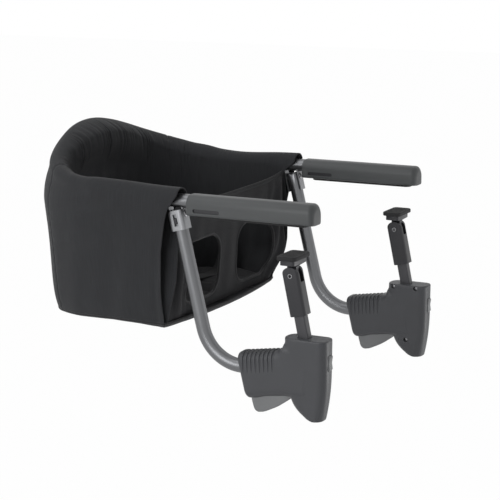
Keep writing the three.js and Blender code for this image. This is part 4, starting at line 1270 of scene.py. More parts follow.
def stitches(name: str, lines: Sequence[Array]) -> Piece:
    """Rows of machine stitches: short rounded beads of thread, evenly spaced along lines on the cloth.

    Args:
        name: the piece's name.
        lines: the lines that they follow.

    Returns:
        One object with every stitch.
    """
    bead = np.array([[-1.5, 0.0], [-1.2, 0.28], [0.0, 0.4], [1.2, 0.28], [1.5, 0.0]])
    shape = turned(bead, (0, 0, 0), (1, 0, 0), 6)
    skin = Skin()
    for line in lines:
        even = spaced(line, STITCH_PITCH)
        along = unit(np.gradient(even, axis=0))
        upright = np.where(np.abs(along[:, 2:]) > 0.8, [1.0, 0.0, 0.0], [0.0, 0.0, 1.0])
        side = unit(np.cross(along, upright))
        skin.copies(even, along, np.cross(side, along), shape)
    return skin.piece(name, SEWING_THREAD, 80)


@dataclass
class FrontCloth:
    """The seat's front: a belt of cloth across the top, two bound leg holes and the strip between them.

    A place on it is given by its share across, from -1 at the right wall to 1 at the left one, and its share
    down, from 0 at the belt's top to 1 at the floor.
    """

    cloth: SeatCloth
    top: float = 3.0
    low: float = -163.0
    top_half: float = 180.3
    low_half: float = 192.4
    top_y: float = 54.0
    low_y: float = 63.0
    thickness: float = 2.2
    end_reach: float = 3.0
    end_lift: float = 7.0
    slack: float = 15.0
    flap_in: float = 12.0
    strip_width: float = 18.0
    strip_bow: float = 3.5
    belt_sag: float = 2.5
    hole_inner: float = 28.0
    hole_outer: float = 142.0
    hole_top: float = -53.0
    hole_low: float = -148.0
    hole_corner: float = 30.0

    WAVES = ((0.7, 71, 0.4), (0.45, 39, 1.2))
    BELT_ROWS = (0.085, 0.33)
    WALLS = ["side_cloth_left", "side_cloth_right"]

    def at(self, across: Any, down: Any) -> Array:
        """Points of the cloth: a flat panel whose upper ends reach forward to the arms and whose flaps beside
        the leg holes bow forward in soft folds, each a sine across times a sine down.

        Args:
            across: shares across, of any shape.
            down: shares down, of the same shape.

        Returns:
            Points, with one more axis for X, Y and Z.
        """
        across, down = np.broadcast_arrays(np.asarray(across, float), np.asarray(down, float))
        half = blend(self.top_half, self.low_half, down)
        x = across * half
        end = np.abs(across) ** 7 * (1 - down) ** 2
        start = self.hole_outer - self.flap_in
        flap = np.clip((np.abs(x) - start) / (half - start), 0, 1)
        middle = np.sin(math.pi * np.clip(down, 0, 1)) ** 0.7
        fold = np.sin(math.pi * flap) ** 1.3 * middle * (1 + 0.3 * np.sin(8 * down + 2 * np.sign(x)))
        fold = fold + 0.34 * np.sin(math.pi * flap) * np.sin(3.6 * math.pi * flap + 9 * down) * middle
        strip = bell(x, self.strip_width) * middle
        wave = ripples(x + 25 * down, self.WAVES) * middle
        y = blend(self.top_y, self.low_y, down) - self.end_reach * end
        y = y - self.slack * fold - self.strip_bow * strip + wave
        z = blend(self.top, self.low, down) + self.end_lift * end - self.belt_sag * (1 - across**2) * (1 - down)
        points = np.stack([x, y, z], axis=-1)
        return self.cloth.slump(points, (self.cloth.rim.height - z) / (self.cloth.rim.height - self.cloth.floor))

    def hole(self, side: int) -> Array:
        """The outline (X, Z) of the leg hole on a side, 1 for the left and -1 for the right."""
        ring = rounded(self.hole_outer - self.hole_inner, self.hole_low, self.hole_top, self.hole_corner, steps=12)
        return ring + (side * (self.hole_inner + self.hole_outer) / 2, 0)

    def build(self) -> None:
        """Makes the panel, cuts the leg holes, binds them, and adds the belt's rolled hem and stitching."""
        points = self.at(np.linspace(-1, 1, 170)[None, :], np.linspace(0, 1, 76)[:, None])
        # The panel's darker cloth is painted shade over the seat's front.
        panel = Skin().grid(points).piece("front_cloth", SHADED_FRONT_CLOTH, 80, open_sheet=True)
        thicken(panel, self.thickness, 0)
        settled(panel)
        tools = [cutter(prism(self.hole(side), 1, (20.0, 95.0))) for side in (-1, 1)]
        panel = dressed(worked(panel, Cut.AWAY, *tools), SHADED_FRONT_CLOTH, 60)
        belongs(panel, "seat", "fabric", "front_panel")
        self.build_bindings()
        self.build_hem()

    def build_bindings(self) -> None:
        """Folds a tape round the edge of each leg hole: an oval carried along the outline on the cloth."""
        skin = Skin()
        for side in (-1, 1):
            ring = spaced_ring(self.hole(side), 2.5)
            down = (self.top - ring[:, 1]) / (self.top - self.low)
            half = blend(self.top_half, self.low_half, down)
            depth = self.at(ring[:, 0] / half, down)[:, 1]
            path = np.stack([ring[:, 0], depth, ring[:, 1]], axis=-1)
            skin.grid(ring_sweep(path, circle(1.0, 14) * (2.4, 2.1), (0, 1, 0)))
        belongs(skin.piece("leg_hole_binding", EDGE_TAPE, 60), "seat", "fabric")

    def build_hem(self) -> None:
        """Rolls the belt's top edge and sews two rows below it."""
        edge = self.at(np.linspace(-0.995, 0.995, 240), 0.0)
        rings = sweep(edge, circle(1.0, 16) * (2.6, 3.4), (0, 0, 1))[:, :-1]
        # The hem shares the front's darker cloth, which is painted shade.
        belongs(Skin().capped(rings).piece("belt_hem", SHADED_FRONT_CLOTH, 60), "seat", "fabric")
        proud = (0, self.thickness / 2 + 0.05, 0)
        rows = [self.at(np.linspace(-0.97, 0.97, 500), share) - proud for share in self.BELT_ROWS]
        belongs(stitches("belt_stitches", rows), "seat", "fabric")


def fan(outline: Array, shares: Array) -> Array:
    """Rings from the middle of an outline to its edge, at shares of the way, with the first column repeated."""
    middle, closed = outline.mean(axis=0), np.concatenate([outline, outline[:1]])
    return middle + shares[:, None, None] * (closed - middle)


@dataclass
class SeatBottom:
    """The seat's cloth bottom, which sags a little and rounds up at the front, and the covered board on it."""

    cloth: SeatCloth
    front: float = 61.0
    bow: float = 14.0
    edge_depth: float = 6.5
    front_depth: float = 11.0
    thickness: float = 2.4
    pad_low: float = -163.0
    pad_top: float = -156.2
    pad_front: float = 78.0
    pad_inset: float = 7.0
    quilt_lines: tuple[float, float] = (60.0, 120.0)

    CREASES = ((0.5, 47, 0.2), (0.35, 29, 1.1))

    def outline(self) -> Array:
        """The edge (X, Y): the foot of the walls, then forward of the front panel in a shallow bow.

        Returns:
            Points (m, 2).
        """
        foot = self.cloth.at(np.linspace(0, 1, 260), 0.0)[:, :2]
        share = np.linspace(-1, 1, 60)[1:-1]
        x = foot[-1, 0] + (foot[0, 0] - foot[-1, 0]) * (share + 1) / 2
        return np.concatenate([foot, np.stack([x, self.front - self.bow * (1 - share**2)], axis=-1)])

    def build(self) -> None:
        """Makes the cloth bottom with its piping, and the covered board."""
        edge = self.outline()
        shares = np.concatenate([np.linspace(0, 0.8, 16), 1 - 0.2 * np.linspace(1, 0, 24)[1:] ** 1.6])
        flat = fan(edge, shares)
        depth = blend(self.front_depth, self.edge_depth, eased(flat[..., 1], 60, 130))
        sag = (1 - shares[:, None] ** 9) ** 0.5 * depth
        crease = ripples(flat.sum(axis=-1), self.CREASES) * (1 - shares[:, None] ** 4)
        level = self.cloth.base(flat[..., 1]) - 0.4 - sag + crease
        points = np.concatenate([flat, level[..., None]], axis=-1)
        bottom = Skin().grid(points).piece("floor_cloth", FLOOR_CLOTH, 80, open_sheet=True)
        thicken(bottom, self.thickness, 0)
        flat = tuple(float(size) for size in np.ptp(edge, axis=0) * MM)
        belongs(bottom, "seat", "fabric", "seat_floor")
        path = spaced_ring(edge, 2.5)
        path = np.concatenate([path, self.cloth.base(path[:, 1:]) - 0.8], axis=-1)
        rings = ring_sweep(path, circle(1.8, 12), (0, 0, 1))
        belongs(Skin().grid(rings).piece("bottom_piping", EDGE_TAPE, 60), "seat", "fabric")
        self.build_pad()

    def build_pad(self) -> None:
        """Covers the board: rings out along its underside, round its edge and back over its quilted top."""
        inner = self.cloth.at(np.linspace(0, 1, 300), 1.0)[:, :2]
        inner = shrunk(inner, self.pad_inset)[3:-3]
        inner = inner[inner[:, 1] > self.pad_front]
        x = np.linspace(inner[-1, 0], inner[0, 0], 60)[1:-1]
        edge = np.concatenate([inner, np.stack([x, np.full(len(x), self.pad_front)], axis=-1)])
        half = (self.pad_top - self.pad_low) / 2
        turn = np.linspace(-math.pi / 2, math.pi / 2, 9)
        out = np.linspace(0, 0.985, 50)
        shares = np.concatenate([out, 0.985 + 0.015 * np.cos(turn)[1:-1], out[::-1]])
        rise = np.concatenate([np.full(50, -half), half * np.sin(turn)[1:-1], np.full(50, half)])
        flat = fan(edge, shares)
        quilt = sum(bell(np.abs(flat[..., 0]) - line, 2.6) for line in self.quilt_lines)
        level = (self.pad_top + self.pad_low) / 2 + rise[:, None] - 1.1 * quilt * (rise[:, None] > half * 0.9)
        level = level + self.cloth.base(flat[..., 1]) - self.cloth.floor
        points = np.concatenate([flat, level[..., None]], axis=-1)
        pad = Skin().grid(points).piece("seat_pad", PAD_CLOTH, 50)
        belongs(pad, "seat", "board", "seat_board")


@dataclass
class Harness:
    """Two waist straps and a crotch strap of webbing, sewn to the seat, that meet at a buckle."""

    width: float = 25.0
    crotch_width: float = 30.0
    thickness: float = 1.8
    lying: float = -154.3
    tongue: tuple[float, float] = (36.3, -149.7)
    wall: tuple[float, float] = (182.0, -106.0)
    buckle_y: float = 150.0
    buckle_z: tuple[float, float] = (-155.7, -143.7)
    buckle_width: float = 42.0
    buckle_depth: float = 46.0

    MOUTH = ((139.7, 160.3), (-152.0, -147.4))
    BUTTON_RING = ((-1.4, 8.2), (1.0, 8.2), (1.0, 9.2), (-1.4, 9.2), (-1.4, 8.2))

    def ribbon(self, name: str, points: Sequence[Numbers], width: float, node: str) -> Piece:
        """A flat strap through points on its middle line.

        Args:
            name: the piece's name.
            points: the points.
            width: the strap's width.
            node: the node that it stands for.

        Returns:
            The strap.
        """
        path = spaced(curve_through(points), 2.0)
        half = self.thickness / 2
        profile = rounded(width, -half, half, half - 0.05, steps=3)
        piece = Skin().capped(sweep(path, profile, (-0.6, 0, 1))[:, :-1]).piece(name, STRAP_WEBBING, 60)
        return belongs(piece, "seat", "webbing", node)

    def build(self) -> None:
        """Makes the straps, the buckle and its tongues."""
        start, wall = self.tongue[0], self.wall[0]
        for side, name in ((1, "left"), (-1, "right")):
            points = [
                (side * start, self.buckle_y, self.tongue[1]),
                (side * blend(start, wall, 0.3), self.buckle_y, self.lying),
                (side * blend(start, wall, 0.75), self.buckle_y, self.lying),
                (side * wall, self.buckle_y, self.wall[1]),
            ]
            self.ribbon(f"waist_webbing_{name}", points, self.width, f"waist_strap_{name}")
            tongue = refined(f"buckle_tongue_{name}", f"tongue_{name}", SATIN_BLACK, 0.6)
            belongs(tongue, "seat", "black_plastic", f"buckle_tongue_{name}")
        points = [(0, 67.6, -132), (0, 88.3, self.lying), (0, 126.7, self.lying)]
        self.ribbon("crotch_webbing", points, self.crotch_width, "crotch_strap")
        self.build_buckle()

    def build_buckle(self) -> None:
        """A rounded slab with two mouths at its sides and a round press button in a ring-shaped dip."""
        low, high = self.buckle_z
        half = self.buckle_depth / 2
        outline = rounded(self.buckle_width, self.buckle_y - half, self.buckle_y + half, 8)
        body = Skin().capped(slab_rings(outline, low, high, 2.4, 5)).piece("buckle", SATIN_BLACK, 40)
        mouths = [block(sorted((side * 7.0, side * 30.0)), *self.MOUTH) for side in (-1, 1)]
        dip = turned(np.array(self.BUTTON_RING), (0, self.buckle_y, high), (0, 0, 1), 48)
        dip = Skin().grid(dip).piece("tool", SATIN_BLACK)
        body = dressed(worked(body, Cut.AWAY, *mouths, dip), SATIN_BLACK, 40)
        belongs(body, "seat", "black_plastic", "buckle_body")


# Tubes and arms


def hollow(outer: Array, inner: Array) -> Skin:
    """A tube's skin: its outside and its bore, as rings of the same number, and the rims at both ends."""
    front, rear = (np.stack([outer[end], inner[end]]) for end in (0, -1))
    return Skin().grid(outer).grid(inner).grid(front).grid(rear)


def crossed(screw: Piece, centre: Numbers, axis: int, depth: float, arm: float) -> Piece:
    """Cuts a cross recess into a screw's head.

    Args:
        screw: the screw.
        centre: middle of the head's face.
        axis: 0 or 2, for a screw along X or along Z.
        depth: how deep the recess goes, along the axis.
        arm: half the length of the cross.

    Returns:
        The screw.
    """
    tools = []
    for long in (1, 2 - axis):
        reach = [CROSS_HALF] * 3
        reach[long] = arm
        spans = [[value - size, value + size] for value, size in zip(centre, reach)]
        spans[axis] = [centre[axis] - 0.5, centre[axis] + depth]
        tools.append(block(*spans))
    return worked(screw, Cut.AWAY, *tools)


@dataclass
class UpperFrame:
    """The bent frame tube and, on each arm, the moulded sleeve with its rubber pad and screw."""

    rim: Rim
    radius: float = 10.0
    wall: float = 1.5
    sleeve_rear: float = 16.0
    sleeve_front: float = -180.0
    sleeve_width: float = 35.0
    sleeve_top: float = 32.0
    sleeve_base: float = 3.0
    shoulder: float = 13.0
    foot: float = 3.0
    nose: float = 8.5
    rear_edge: float = 2.5
    slot_length: float = 42.0
    slot_height: float = 5.5
    slot_depth: float = 3.2
    slot_rear: float = 4.5
    slot_z: float = 10.6
    pad_width: float = 26.0
    pad_length: float = 168.0
    screw_y: float = 9.0
    screw_head: float = 3.6

    def build(self) -> None:
        """Makes the tube, both sleeves, both pads and both screws."""
        path = self.rim.line(self.rim.front, 3.0)
        rings = [sweep(path, circle(radius, 44), (0, 0, 1)) for radius in (self.radius, self.radius - self.wall)]
        tube = hollow(*rings).piece("upper_tube", SATIN_TUBE)
        belongs(tube, "seat", "frame_steel", "frame_tube")
        self.build_sleeves()
        self.build_pads()
        self.build_screws()

    def build_sleeves(self) -> None:
        """A rounded section carried along the arm, drawn in along a quarter circle at both ends."""
        rear = np.linspace(0, math.pi / 2, 5)
        front = np.linspace(math.pi / 2, 0, 12)
        at = np.concatenate([
            self.sleeve_rear - self.rear_edge * (1 - np.cos(rear)),
            self.sleeve_front + self.nose * (1 - np.cos(front)),
        ])
        inset = np.concatenate([self.rear_edge * (1 - np.sin(rear)), self.nose * (1 - np.sin(front))])
        corner = np.minimum(self.shoulder, self.sleeve_width / 2 - inset - FIT)
        width = self.sleeve_width - 2 * inset
        ring = rounded(width, self.sleeve_base, self.sleeve_top - inset, corner, self.foot, 10)
        sleeve = Skin().capped(stacked(ring, 1, at)).piece("sleeve_left", SLEEVE_GREY, 40)
        half = self.slot_height / 2
        slot = rounded(self.slot_length, -half, half, half - 0.1)
        slot = slot + (self.slot_rear - self.slot_length / 2, self.slot_z)
        # The thin black slab laid on the floor of each side slot is painted shade: a dark sheet where the slot's
        # depth lies in shade.
        slots, insert = Skin(), Skin()
        for side in (-1, 1):
            deep = side * (self.sleeve_width / 2 - self.slot_depth)
            for skin, reach in ((slots, side * self.sleeve_width), (insert, deep + side * 0.8)):
                skin.capped(prism(slot, 0, sorted((deep, reach))))
        pair(insert.piece("slot_insert_left", SATIN_BLACK), "seat", "black_plastic")
        bore = rod(self.radius + FIT, (0, 40, self.rim.height), (0, self.rim.front - FIT, self.rim.height), 60)
        seat = rod(self.screw_head + FIT, (0, self.screw_y, 0), (0, self.screw_y, 5.5), 32)
        sleeve = worked(sleeve, Cut.AWAY, bore, slots.piece("tool", SLEEVE_GREY), seat)
        pair(softened(dressed(sleeve, SLEEVE_GREY, 40), 0.35, 50), "seat", "sleeve_plastic", "arm_sleeve_{}")

    def build_pads(self) -> None:
        """A thin rounded slab with shallow ribs across its underside."""
        outline = rounded(self.pad_width, -self.pad_length, 0, self.pad_width / 3)
        rings = slab_rings(outline, 0, 2.7, 0.7)
        pad = Skin().capped(rings).piece("grip_pad_left", SOFT_RUBBER, 40)
        ribs = Skin()
        for y in np.arange(-158.0, -8.0, 6.0):
            bar = rounded(self.pad_width - 5, -0.5, 0.5, 0.5, steps=4)
            ribs.capped(prism(bar + (0, y), 2, (-1.0, 0.5)))
        pair(worked(pad, Cut.AWAY, ribs.piece("tool", SOFT_RUBBER)), "seat", "rubber", "arm_pad_{}")

    def build_screws(self) -> None:
        """A pan-head screw turned about an upright axis, with a cross recess below."""
        low, head = self.sleeve_base, self.screw_head
        profile = np.array([
            (low, 0), (low, head - 0.6), (low + 0.2, head - 0.1), (low + 0.6, head), (low + 2.2, head),
            (low + 2.2, 1.9), (14.2, 1.9), (15.0, 1.2), (15.0, 0),
        ])
        rings = turned(profile, (0, self.screw_y, 0), (0, 0, 1), 36)
        screw = Skin().grid(rings).piece("sleeve_screw_left", DARK_ZINC)
        crossed(screw, (0, self.screw_y, low), 2, 1.2, 2.0)
        pair(dressed(screw, DARK_ZINC), "seat", "plate_steel", "arm_screw_{}")


@dataclass
class FoldJoint:
    """The bracket under the frame tube, the pin that the folding arm turns on and the sprung button."""

    rim: Rim
    lean: Leaning = FOLD_AXES
    inner: float = 10.3
    sheet: float = 1.8
    bend: float = 5.5
    below: float = 22.0
    lip: float = 8.0
    outer_top: float = 7.0
    pin: float = 3.0
    pin_head: float = 5.0

    WINDOW = ((-3.0, 3.0), (-15.6, 1.5))

    def build(self) -> None:
        """Makes the brackets, pins and buttons."""
        self.build_brackets()
        self.build_pins()
        for side in SIDES:
            button = refined(f"fold_button_{side}", f"lock_button_{side}", SATIN_BLACK, 0.7)
            belongs(button, f"fold_button_{side}", "black_plastic", f"fold_button_{side}")

    def build_brackets(self) -> None:
        """Sheet steel bent to a U: a line with two round bends, thickened to both sides and drawn upright."""
        middle = self.inner + self.sheet / 2
        turn = np.linspace(0, math.pi / 2, 7)
        arc = np.stack([np.sin(turn), -np.cos(turn)], axis=-1) * self.bend
        front = arc + (middle - self.bend, self.bend - middle)
        rear = front[::-1] * (1, -1)
        line = np.concatenate([[(-self.lip, -middle)], front, rear, [(-self.lip, middle)]])
        square = square_to(line) * self.sheet / 2
        outline = np.concatenate([line + square, (line - square)[::-1]])
        rings = prism(outline, 2, (-self.below, self.rim.height - self.lean.z - self.pin))
        bracket = Skin().capped(self.lean(rings)).piece("bracket_left", ZINC_PLATE)
        high = block((middle - self.bend, 20), (-20, 20), (self.outer_top, 30), self.lean)
        window = block((self.inner - 1, 16), *self.WINDOW, self.lean)
        bolt = rod(self.pin + FIT, *self.lean(np.array([(0, -20, 0), (0, 20, 0)])))
        saddle = rod(self.inner, (0, -30, self.rim.height), (0, 110, self.rim.height), 60)
        bracket = worked(bracket, Cut.AWAY, high, window, bolt, saddle)
        pair(softened(dressed(bracket, ZINC_PLATE), 0.35), "seat", "plate_steel", "fold_bracket_{}")

    def build_pins(self) -> None:
        """A turned pin through the bracket's front and rear, with a domed head at each end."""
        reach = self.inner + self.sheet + FIT
        angle = np.linspace(0, math.pi / 2, 7)
        dome = np.stack([reach + 0.4 + 1.2 * np.cos(angle), self.pin_head * np.sin(angle)], axis=-1)
        half = np.concatenate([dome, [(reach, self.pin_head), (reach, self.pin)]])
        profile = np.concatenate([half, half[::-1] * (-1, 1)])
        start, end = self.lean(np.array([(0, 0, 0), (0, 1, 0)]))
        pin = Skin().grid(turned(profile, start, end - start, 36)).piece("pin_left", DARK_ZINC)
        pair(pin, "seat", "plate_steel", "fold_pin_{}")


@dataclass
class LowerTube:
    """The folding arm's tube: down from the pin, round a bend and forward into the clamp."""

    lean: Leaning = FOLD_AXES
    radius: float = 10.0
    wall: float = 1.5
    straight: float = 166.0
    bend: float = 64.0
    tail: float = 51.5
    end_round: float = 5.2
    bolt: float = 3.0

    WINDOW = ((5.0, 20.0), (-2.6, 2.6), (-12.5, -3.5))

    def line(self) -> Array:
        """Points from the pin to the tube's end.

        Returns:
            Points (n, 3).
        """
        angle = math.radians(self.lean.degrees)
        down = np.array([0, -math.sin(angle), -math.cos(angle)])
        forward = np.array([0, -math.cos(angle), math.sin(angle)])
        pivot = np.array([0, self.lean.y, self.lean.z])
        centre = pivot + down * self.straight + forward * self.bend
        turn = np.linspace(0, math.pi / 2 - angle, 36)[:, None]
        curve = centre - forward * self.bend * np.cos(turn) + down * self.bend * np.sin(turn)
        upper = pivot + down * np.array([0, 12, 24, 60, 110, 150])[:, None]
        end = curve[-1] - (0, self.tail, 0)
        return np.concatenate([upper, curve, (curve[-1] + end)[None] / 2, end[None]])

    def build(self) -> None:
        """Makes the tubes, whose upper ends are coped: each point of the rim stands as high over the pin as a
        cylinder of the tube's own radius along the pin, less a quarter circle at the cylinder's two ends."""
        angle = math.radians(self.lean.degrees)
        lift = np.array([0, math.sin(angle), math.cos(angle)])
        tubes = []
        for radius in (self.radius, self.radius - self.wall):
            profile = circle(radius, 48)
            rings = sweep(self.line(), profile, (1, 0, 0))
            along, across = np.abs(np.concatenate([profile, profile[:1]])).T
            near = np.clip(along - self.radius + self.end_round, 0, self.end_round)
            rise = np.sqrt(self.radius**2 - across**2) + np.sqrt(self.end_round**2 - near**2) - self.end_round
            rings[0] += rise[:, None] * lift
            tubes.append(rings)
        tube = hollow(*tubes).piece("arm_tube_left", SATIN_TUBE)
        bolt = rod(self.bolt + FIT, *self.lean(np.array([(0, -20, 0), (0, 20, 0)])))
        tube = worked(tube, Cut.AWAY, bolt, block(*self.WINDOW, self.lean))
        pair(dressed(tube, SATIN_TUBE), "folding_arm_{}", "frame_steel", "lower_tube_{}")


# Clamp


def rounded_corners(points: Sequence[Numbers], radii: Numbers) -> Array:
    """A polygon whose corners are eased: each is a quadratic curve between points on its two edges.

    Args:
        points: the corners.
        radii: how far along its edges each is eased.

    Returns:
        Points (m, 2).
    """
    corner = np.asarray(points, float)
    curve = []
    for other in (np.roll(corner, 1, axis=0), np.roll(corner, -1, axis=0)):
        edge = other - corner
        long = np.linalg.norm(edge, axis=1, keepdims=True)
        curve.append(corner + edge / long * np.minimum(np.asarray(radii, float)[:, None], 0.45 * long))
    start, end = (value[:, None] for value in curve)
    t = np.linspace(0, 1, 7)[None, :, None]
    return ((1 - t) ** 2 * start + 2 * t * (1 - t) * corner[:, None] + t**2 * end).reshape(-1, 2)


@dataclass
class ClampHousing:
    """The clamp's two moulded halves, held by three screws: an upright head and a ribbed grip behind it."""

    top: float = -156.5
    bottom: float = -273.0
    front: float = -200.5
    toe_front: float = -193.0
    slope_start: float = -205.0
    rear: float = -134.5
    heel_start: float = -237.0
    heel_rear: float = -142.5
    toe_rear: float = -176.0
    half_width: float = 18.0
    toe_half_width: float = 15.8
    front_corner: float = 12.5
    rear_corner: float = 15.0
    grip_rear: float = -62.5
    grip_inner: float = -168.0
    grip_top: tuple[float, float] = (-187.0, -175.5)
    grip_bottom: tuple[float, float] = (-252.5, -242.0)
    grip_half: float = 17.5
    grip_lean: float = 0.24
    grip_end: float = 5.0
    grip_shoulder: float = 11.5
    grip_corner: float = 10.0
    fillet: float = 10.0
    neck: float = -137.0
    groove_first: float = -75.0
    groove_pitch: float = 6.5
    grooves: int = 8
    groove_fade: float = 26.0
    groove_sizes: tuple[float, float] = (0.25, 2.35)
    tube_y: float = -116.4
    tube_z: float = -209.69
    screws: tuple[tuple[str, float, float], ...] = (
        ("rear", -146.5, -160.6),
        ("front", -184.0, -160.6),
        ("lower", -168.5, -246.0),
    )
    screw_head: float = 3.2
    screw_sunk: float = 3.7

    BAR_SLOT = ((-7.4, 7.4), (-8.4, 8.4), (-104.3, 32))
    PLATE_ROOM = ((-12.8, 12.8), (-193.5, -149), (-226, -169))
    BUTTON_WINDOW = ((-5.8, 5.8), (-207, -188), (-200.3, -177.7))
    LEVER_PIN = (2.3, (-13.8, -189.5, -218), (13.8, -189.5, -218), 24)
    POCKET = (
        (-79.6, -222), (-79.6, -280), (-142.5, -280), (-146.3, -242.8), (-165.3, -236.4), (-193.7, -226.4),
        (-194.3, -222.2), (-194.3, -209.6), (-149, -221),
    )

    def half_at(self, z: Array) -> Array:
        """Half the head's width at a height: it narrows evenly to the toe."""
        share = (self.top - np.asarray(z)) / (self.top - self.bottom)
        return blend(self.half_width, self.toe_half_width, share)

    def head(self) -> Array:
        """The head's rings: rounded rectangles whose front bows back and whose heel curves forward, going down.

        Returns:
            Points (n, m, 3).
        """
        z = np.linspace(self.top, self.bottom, 60)
        low = np.clip((self.slope_start - z) / (self.slope_start - self.bottom), 0, 1)
        front = blend(self.front, self.toe_front, low**2)
        heel = np.clip((self.heel_start - z) / (self.heel_start - self.bottom), 0, 1)
        curl = (heel**2 + 1 - np.sqrt(1 - heel**2)) / 2
        rear = np.where(heel > 0, blend(self.heel_rear, self.toe_rear, curl), self.rear)
        rear_corner = np.minimum(self.rear_corner, (rear - front) / 2.2)
        return stacked(rounded(2 * self.half_at(z), front, rear, rear_corner, self.front_corner), 2, z)

    def grip_height(self, y: Array, ends: tuple[float, float]) -> Array:
        """Height of the grip's upper or lower edge at a depth, evenly from its rear end to the neck."""
        share = np.clip((self.grip_rear - np.asarray(y)) / (self.grip_rear - self.neck), 0, 1)
        return blend(*ends, share)

    def grip(self) -> Array:
        """The grip's rings: rounded rectangles from the leaning rear end to the middle of the head, whose top
        rises to the head along a quarter circle.

        Returns:
            Points (n, m, 3).
        """
        turn = np.linspace(0, math.pi / 2, 6)
        edge = self.rear + self.fillet
        y = np.concatenate([self.grip_rear - self.grip_end * (1 - np.cos(turn)),
                            np.linspace(self.grip_rear - 10, edge, 20),
                            np.linspace(edge, self.rear, 14)[1:], [self.grip_inner]])
        inset = np.concatenate([self.grip_end * (1 - np.sin(turn)), np.zeros(34)])
        near = np.clip(edge - y, 0, self.fillet)
        high = self.grip_height(y, self.grip_top) - inset + self.fillet - np.sqrt(self.fillet**2 - near**2)
        low = self.grip_height(y, self.grip_bottom) + inset
        corners = (self.grip_shoulder - inset / 2, self.grip_corner - inset / 2)
        ring = rounded(2 * (self.grip_half - inset), low, high, *corners)
        lean = self.grip_lean * (1 - eased(self.grip_rear - y, 8, 50))
        depth = y[:, None] + lean[:, None] * (ring[..., 1] - high[:, None])
        return np.stack([ring[..., 0], depth, ring[..., 1]], axis=-1)

    def groove_tool(self) -> Piece:
        """Scoops over the grip: round bars along its section, thick at the shoulder, fine at the lower ends.

        Returns:
            The bars, for cutting with.
        """
        skin = Skin()
        turn = np.linspace(0, math.pi / 2, 9)
        round_corner = np.stack([np.cos(turn), np.sin(turn)], axis=-1)
        for number in range(self.grooves):
            y = self.groove_first - number * self.groove_pitch
            top = float(self.grip_height(y, self.grip_top))
            side = np.array([[self.grip_half, top - 30 + step] for step in np.linspace(0, 17, 10)])
            arc = np.array([self.grip_half, top]) + (round_corner - 1) * self.grip_shoulder
            half = np.concatenate([side, arc[1:]])
            line = np.concatenate([half, half[::-1] * (-1, 1)])
            along = lengths(line)
            share = np.minimum(along, along[-1] - along) / self.groove_fade
            size = blend(*self.groove_sizes, np.clip(share, 0, 1) ** 0.7)
            path = np.insert(line + square_to(line) * size[:, None] * 0.05, 1, y, axis=-1)
            profile = circle(1.0, 16)[None] * size[:, None, None]
            skin.capped(sweep(path, profile, (0, 1, 0))[:, :-1])
        return skin.piece("tool", CLAMP_CHARCOAL)

    def pocket_tool(self) -> Piece:
        """The opening below that the squeeze lever swings up into."""
        return cutter(prism(np.array(self.POCKET, float), 0, (-11.1, 11.1)))

    def build(self) -> None:
        """Melts head and grip together, carves the grooves and hollows, splits the halves and adds the screws."""
        body = Skin().capped(self.head()).capped(self.grip()).piece("housing", CLAMP_CHARCOAL)
        body = melted(body, 0.95, 16)
        tools = [
            self.groove_tool(),
            self.pocket_tool(),
            block(*self.BAR_SLOT, SHAFT_AXES),
            block(*self.PLATE_ROOM),
            block(*self.BUTTON_WINDOW),
            rod(*self.LEVER_PIN),
            rod(10 + FIT, (0, -40, self.tube_z), (0, self.tube_y, self.tube_z), 48),
        ]
        body = worked(body, Cut.AWAY, *tools)
        holes = Skin()
        for _, y, z in self.screws:
            seat = self.screw_sunk + 1.3 - float(self.half_at(z))
            profile = np.array([(-40, 0), (-40, 3.5), (seat, 3.5), (seat, 1.8), (13, 1.8), (13, 0)])
            holes.grid(turned(profile, (0, y, z), (1, 0, 0), 28))
        drill = holes.piece("tool", CLAMP_CHARCOAL)
        for name, span in (("outer", (0.15, 60)), ("inner", (-60, -0.15))):
            half = shown(f"shell_{name}_left", body.data.copy())
            half = worked(half, Cut.SHARED, block(span, (-300, 0), (-300, 0)))
            bit = shown("bit", drill.data.copy())
            half = dressed(worked(half, Cut.AWAY, bit), CLAMP_CHARCOAL, 32)
            pair(half, "folding_arm_{}", "housing_plastic", f"housing_{name}_{{}}")
        for spare in (body, drill):
            bpy.data.meshes.remove(spare.data)
        self.build_screws()

    def build_screws(self) -> None:
        """Pan-head screws along X, deep in the inner half's holes, with cross recesses."""
        for name, y, z in self.screws:
            face = self.screw_sunk - float(self.half_at(z))
            profile = np.array([
                (face, 0), (face, 1.9), (face + 0.25, self.screw_head - 0.5), (face + 0.8, self.screw_head),
                (face + 1.0, self.screw_head), (face + 1.0, 1.5), (12.2, 1.5), (13, 0.9), (13, 0),
            ])
            rings = turned(profile, (0, y, z), (1, 0, 0), 28)
            screw = Skin().grid(rings).piece(f"clamp_screw_{name}_left", DARK_ZINC)
            screw = crossed(screw, (face, y, z), 0, 0.8, 1.7)
            pair(dressed(screw, DARK_ZINC), "folding_arm_{}", "plate_steel", f"housing_screw_{name}_{{}}")


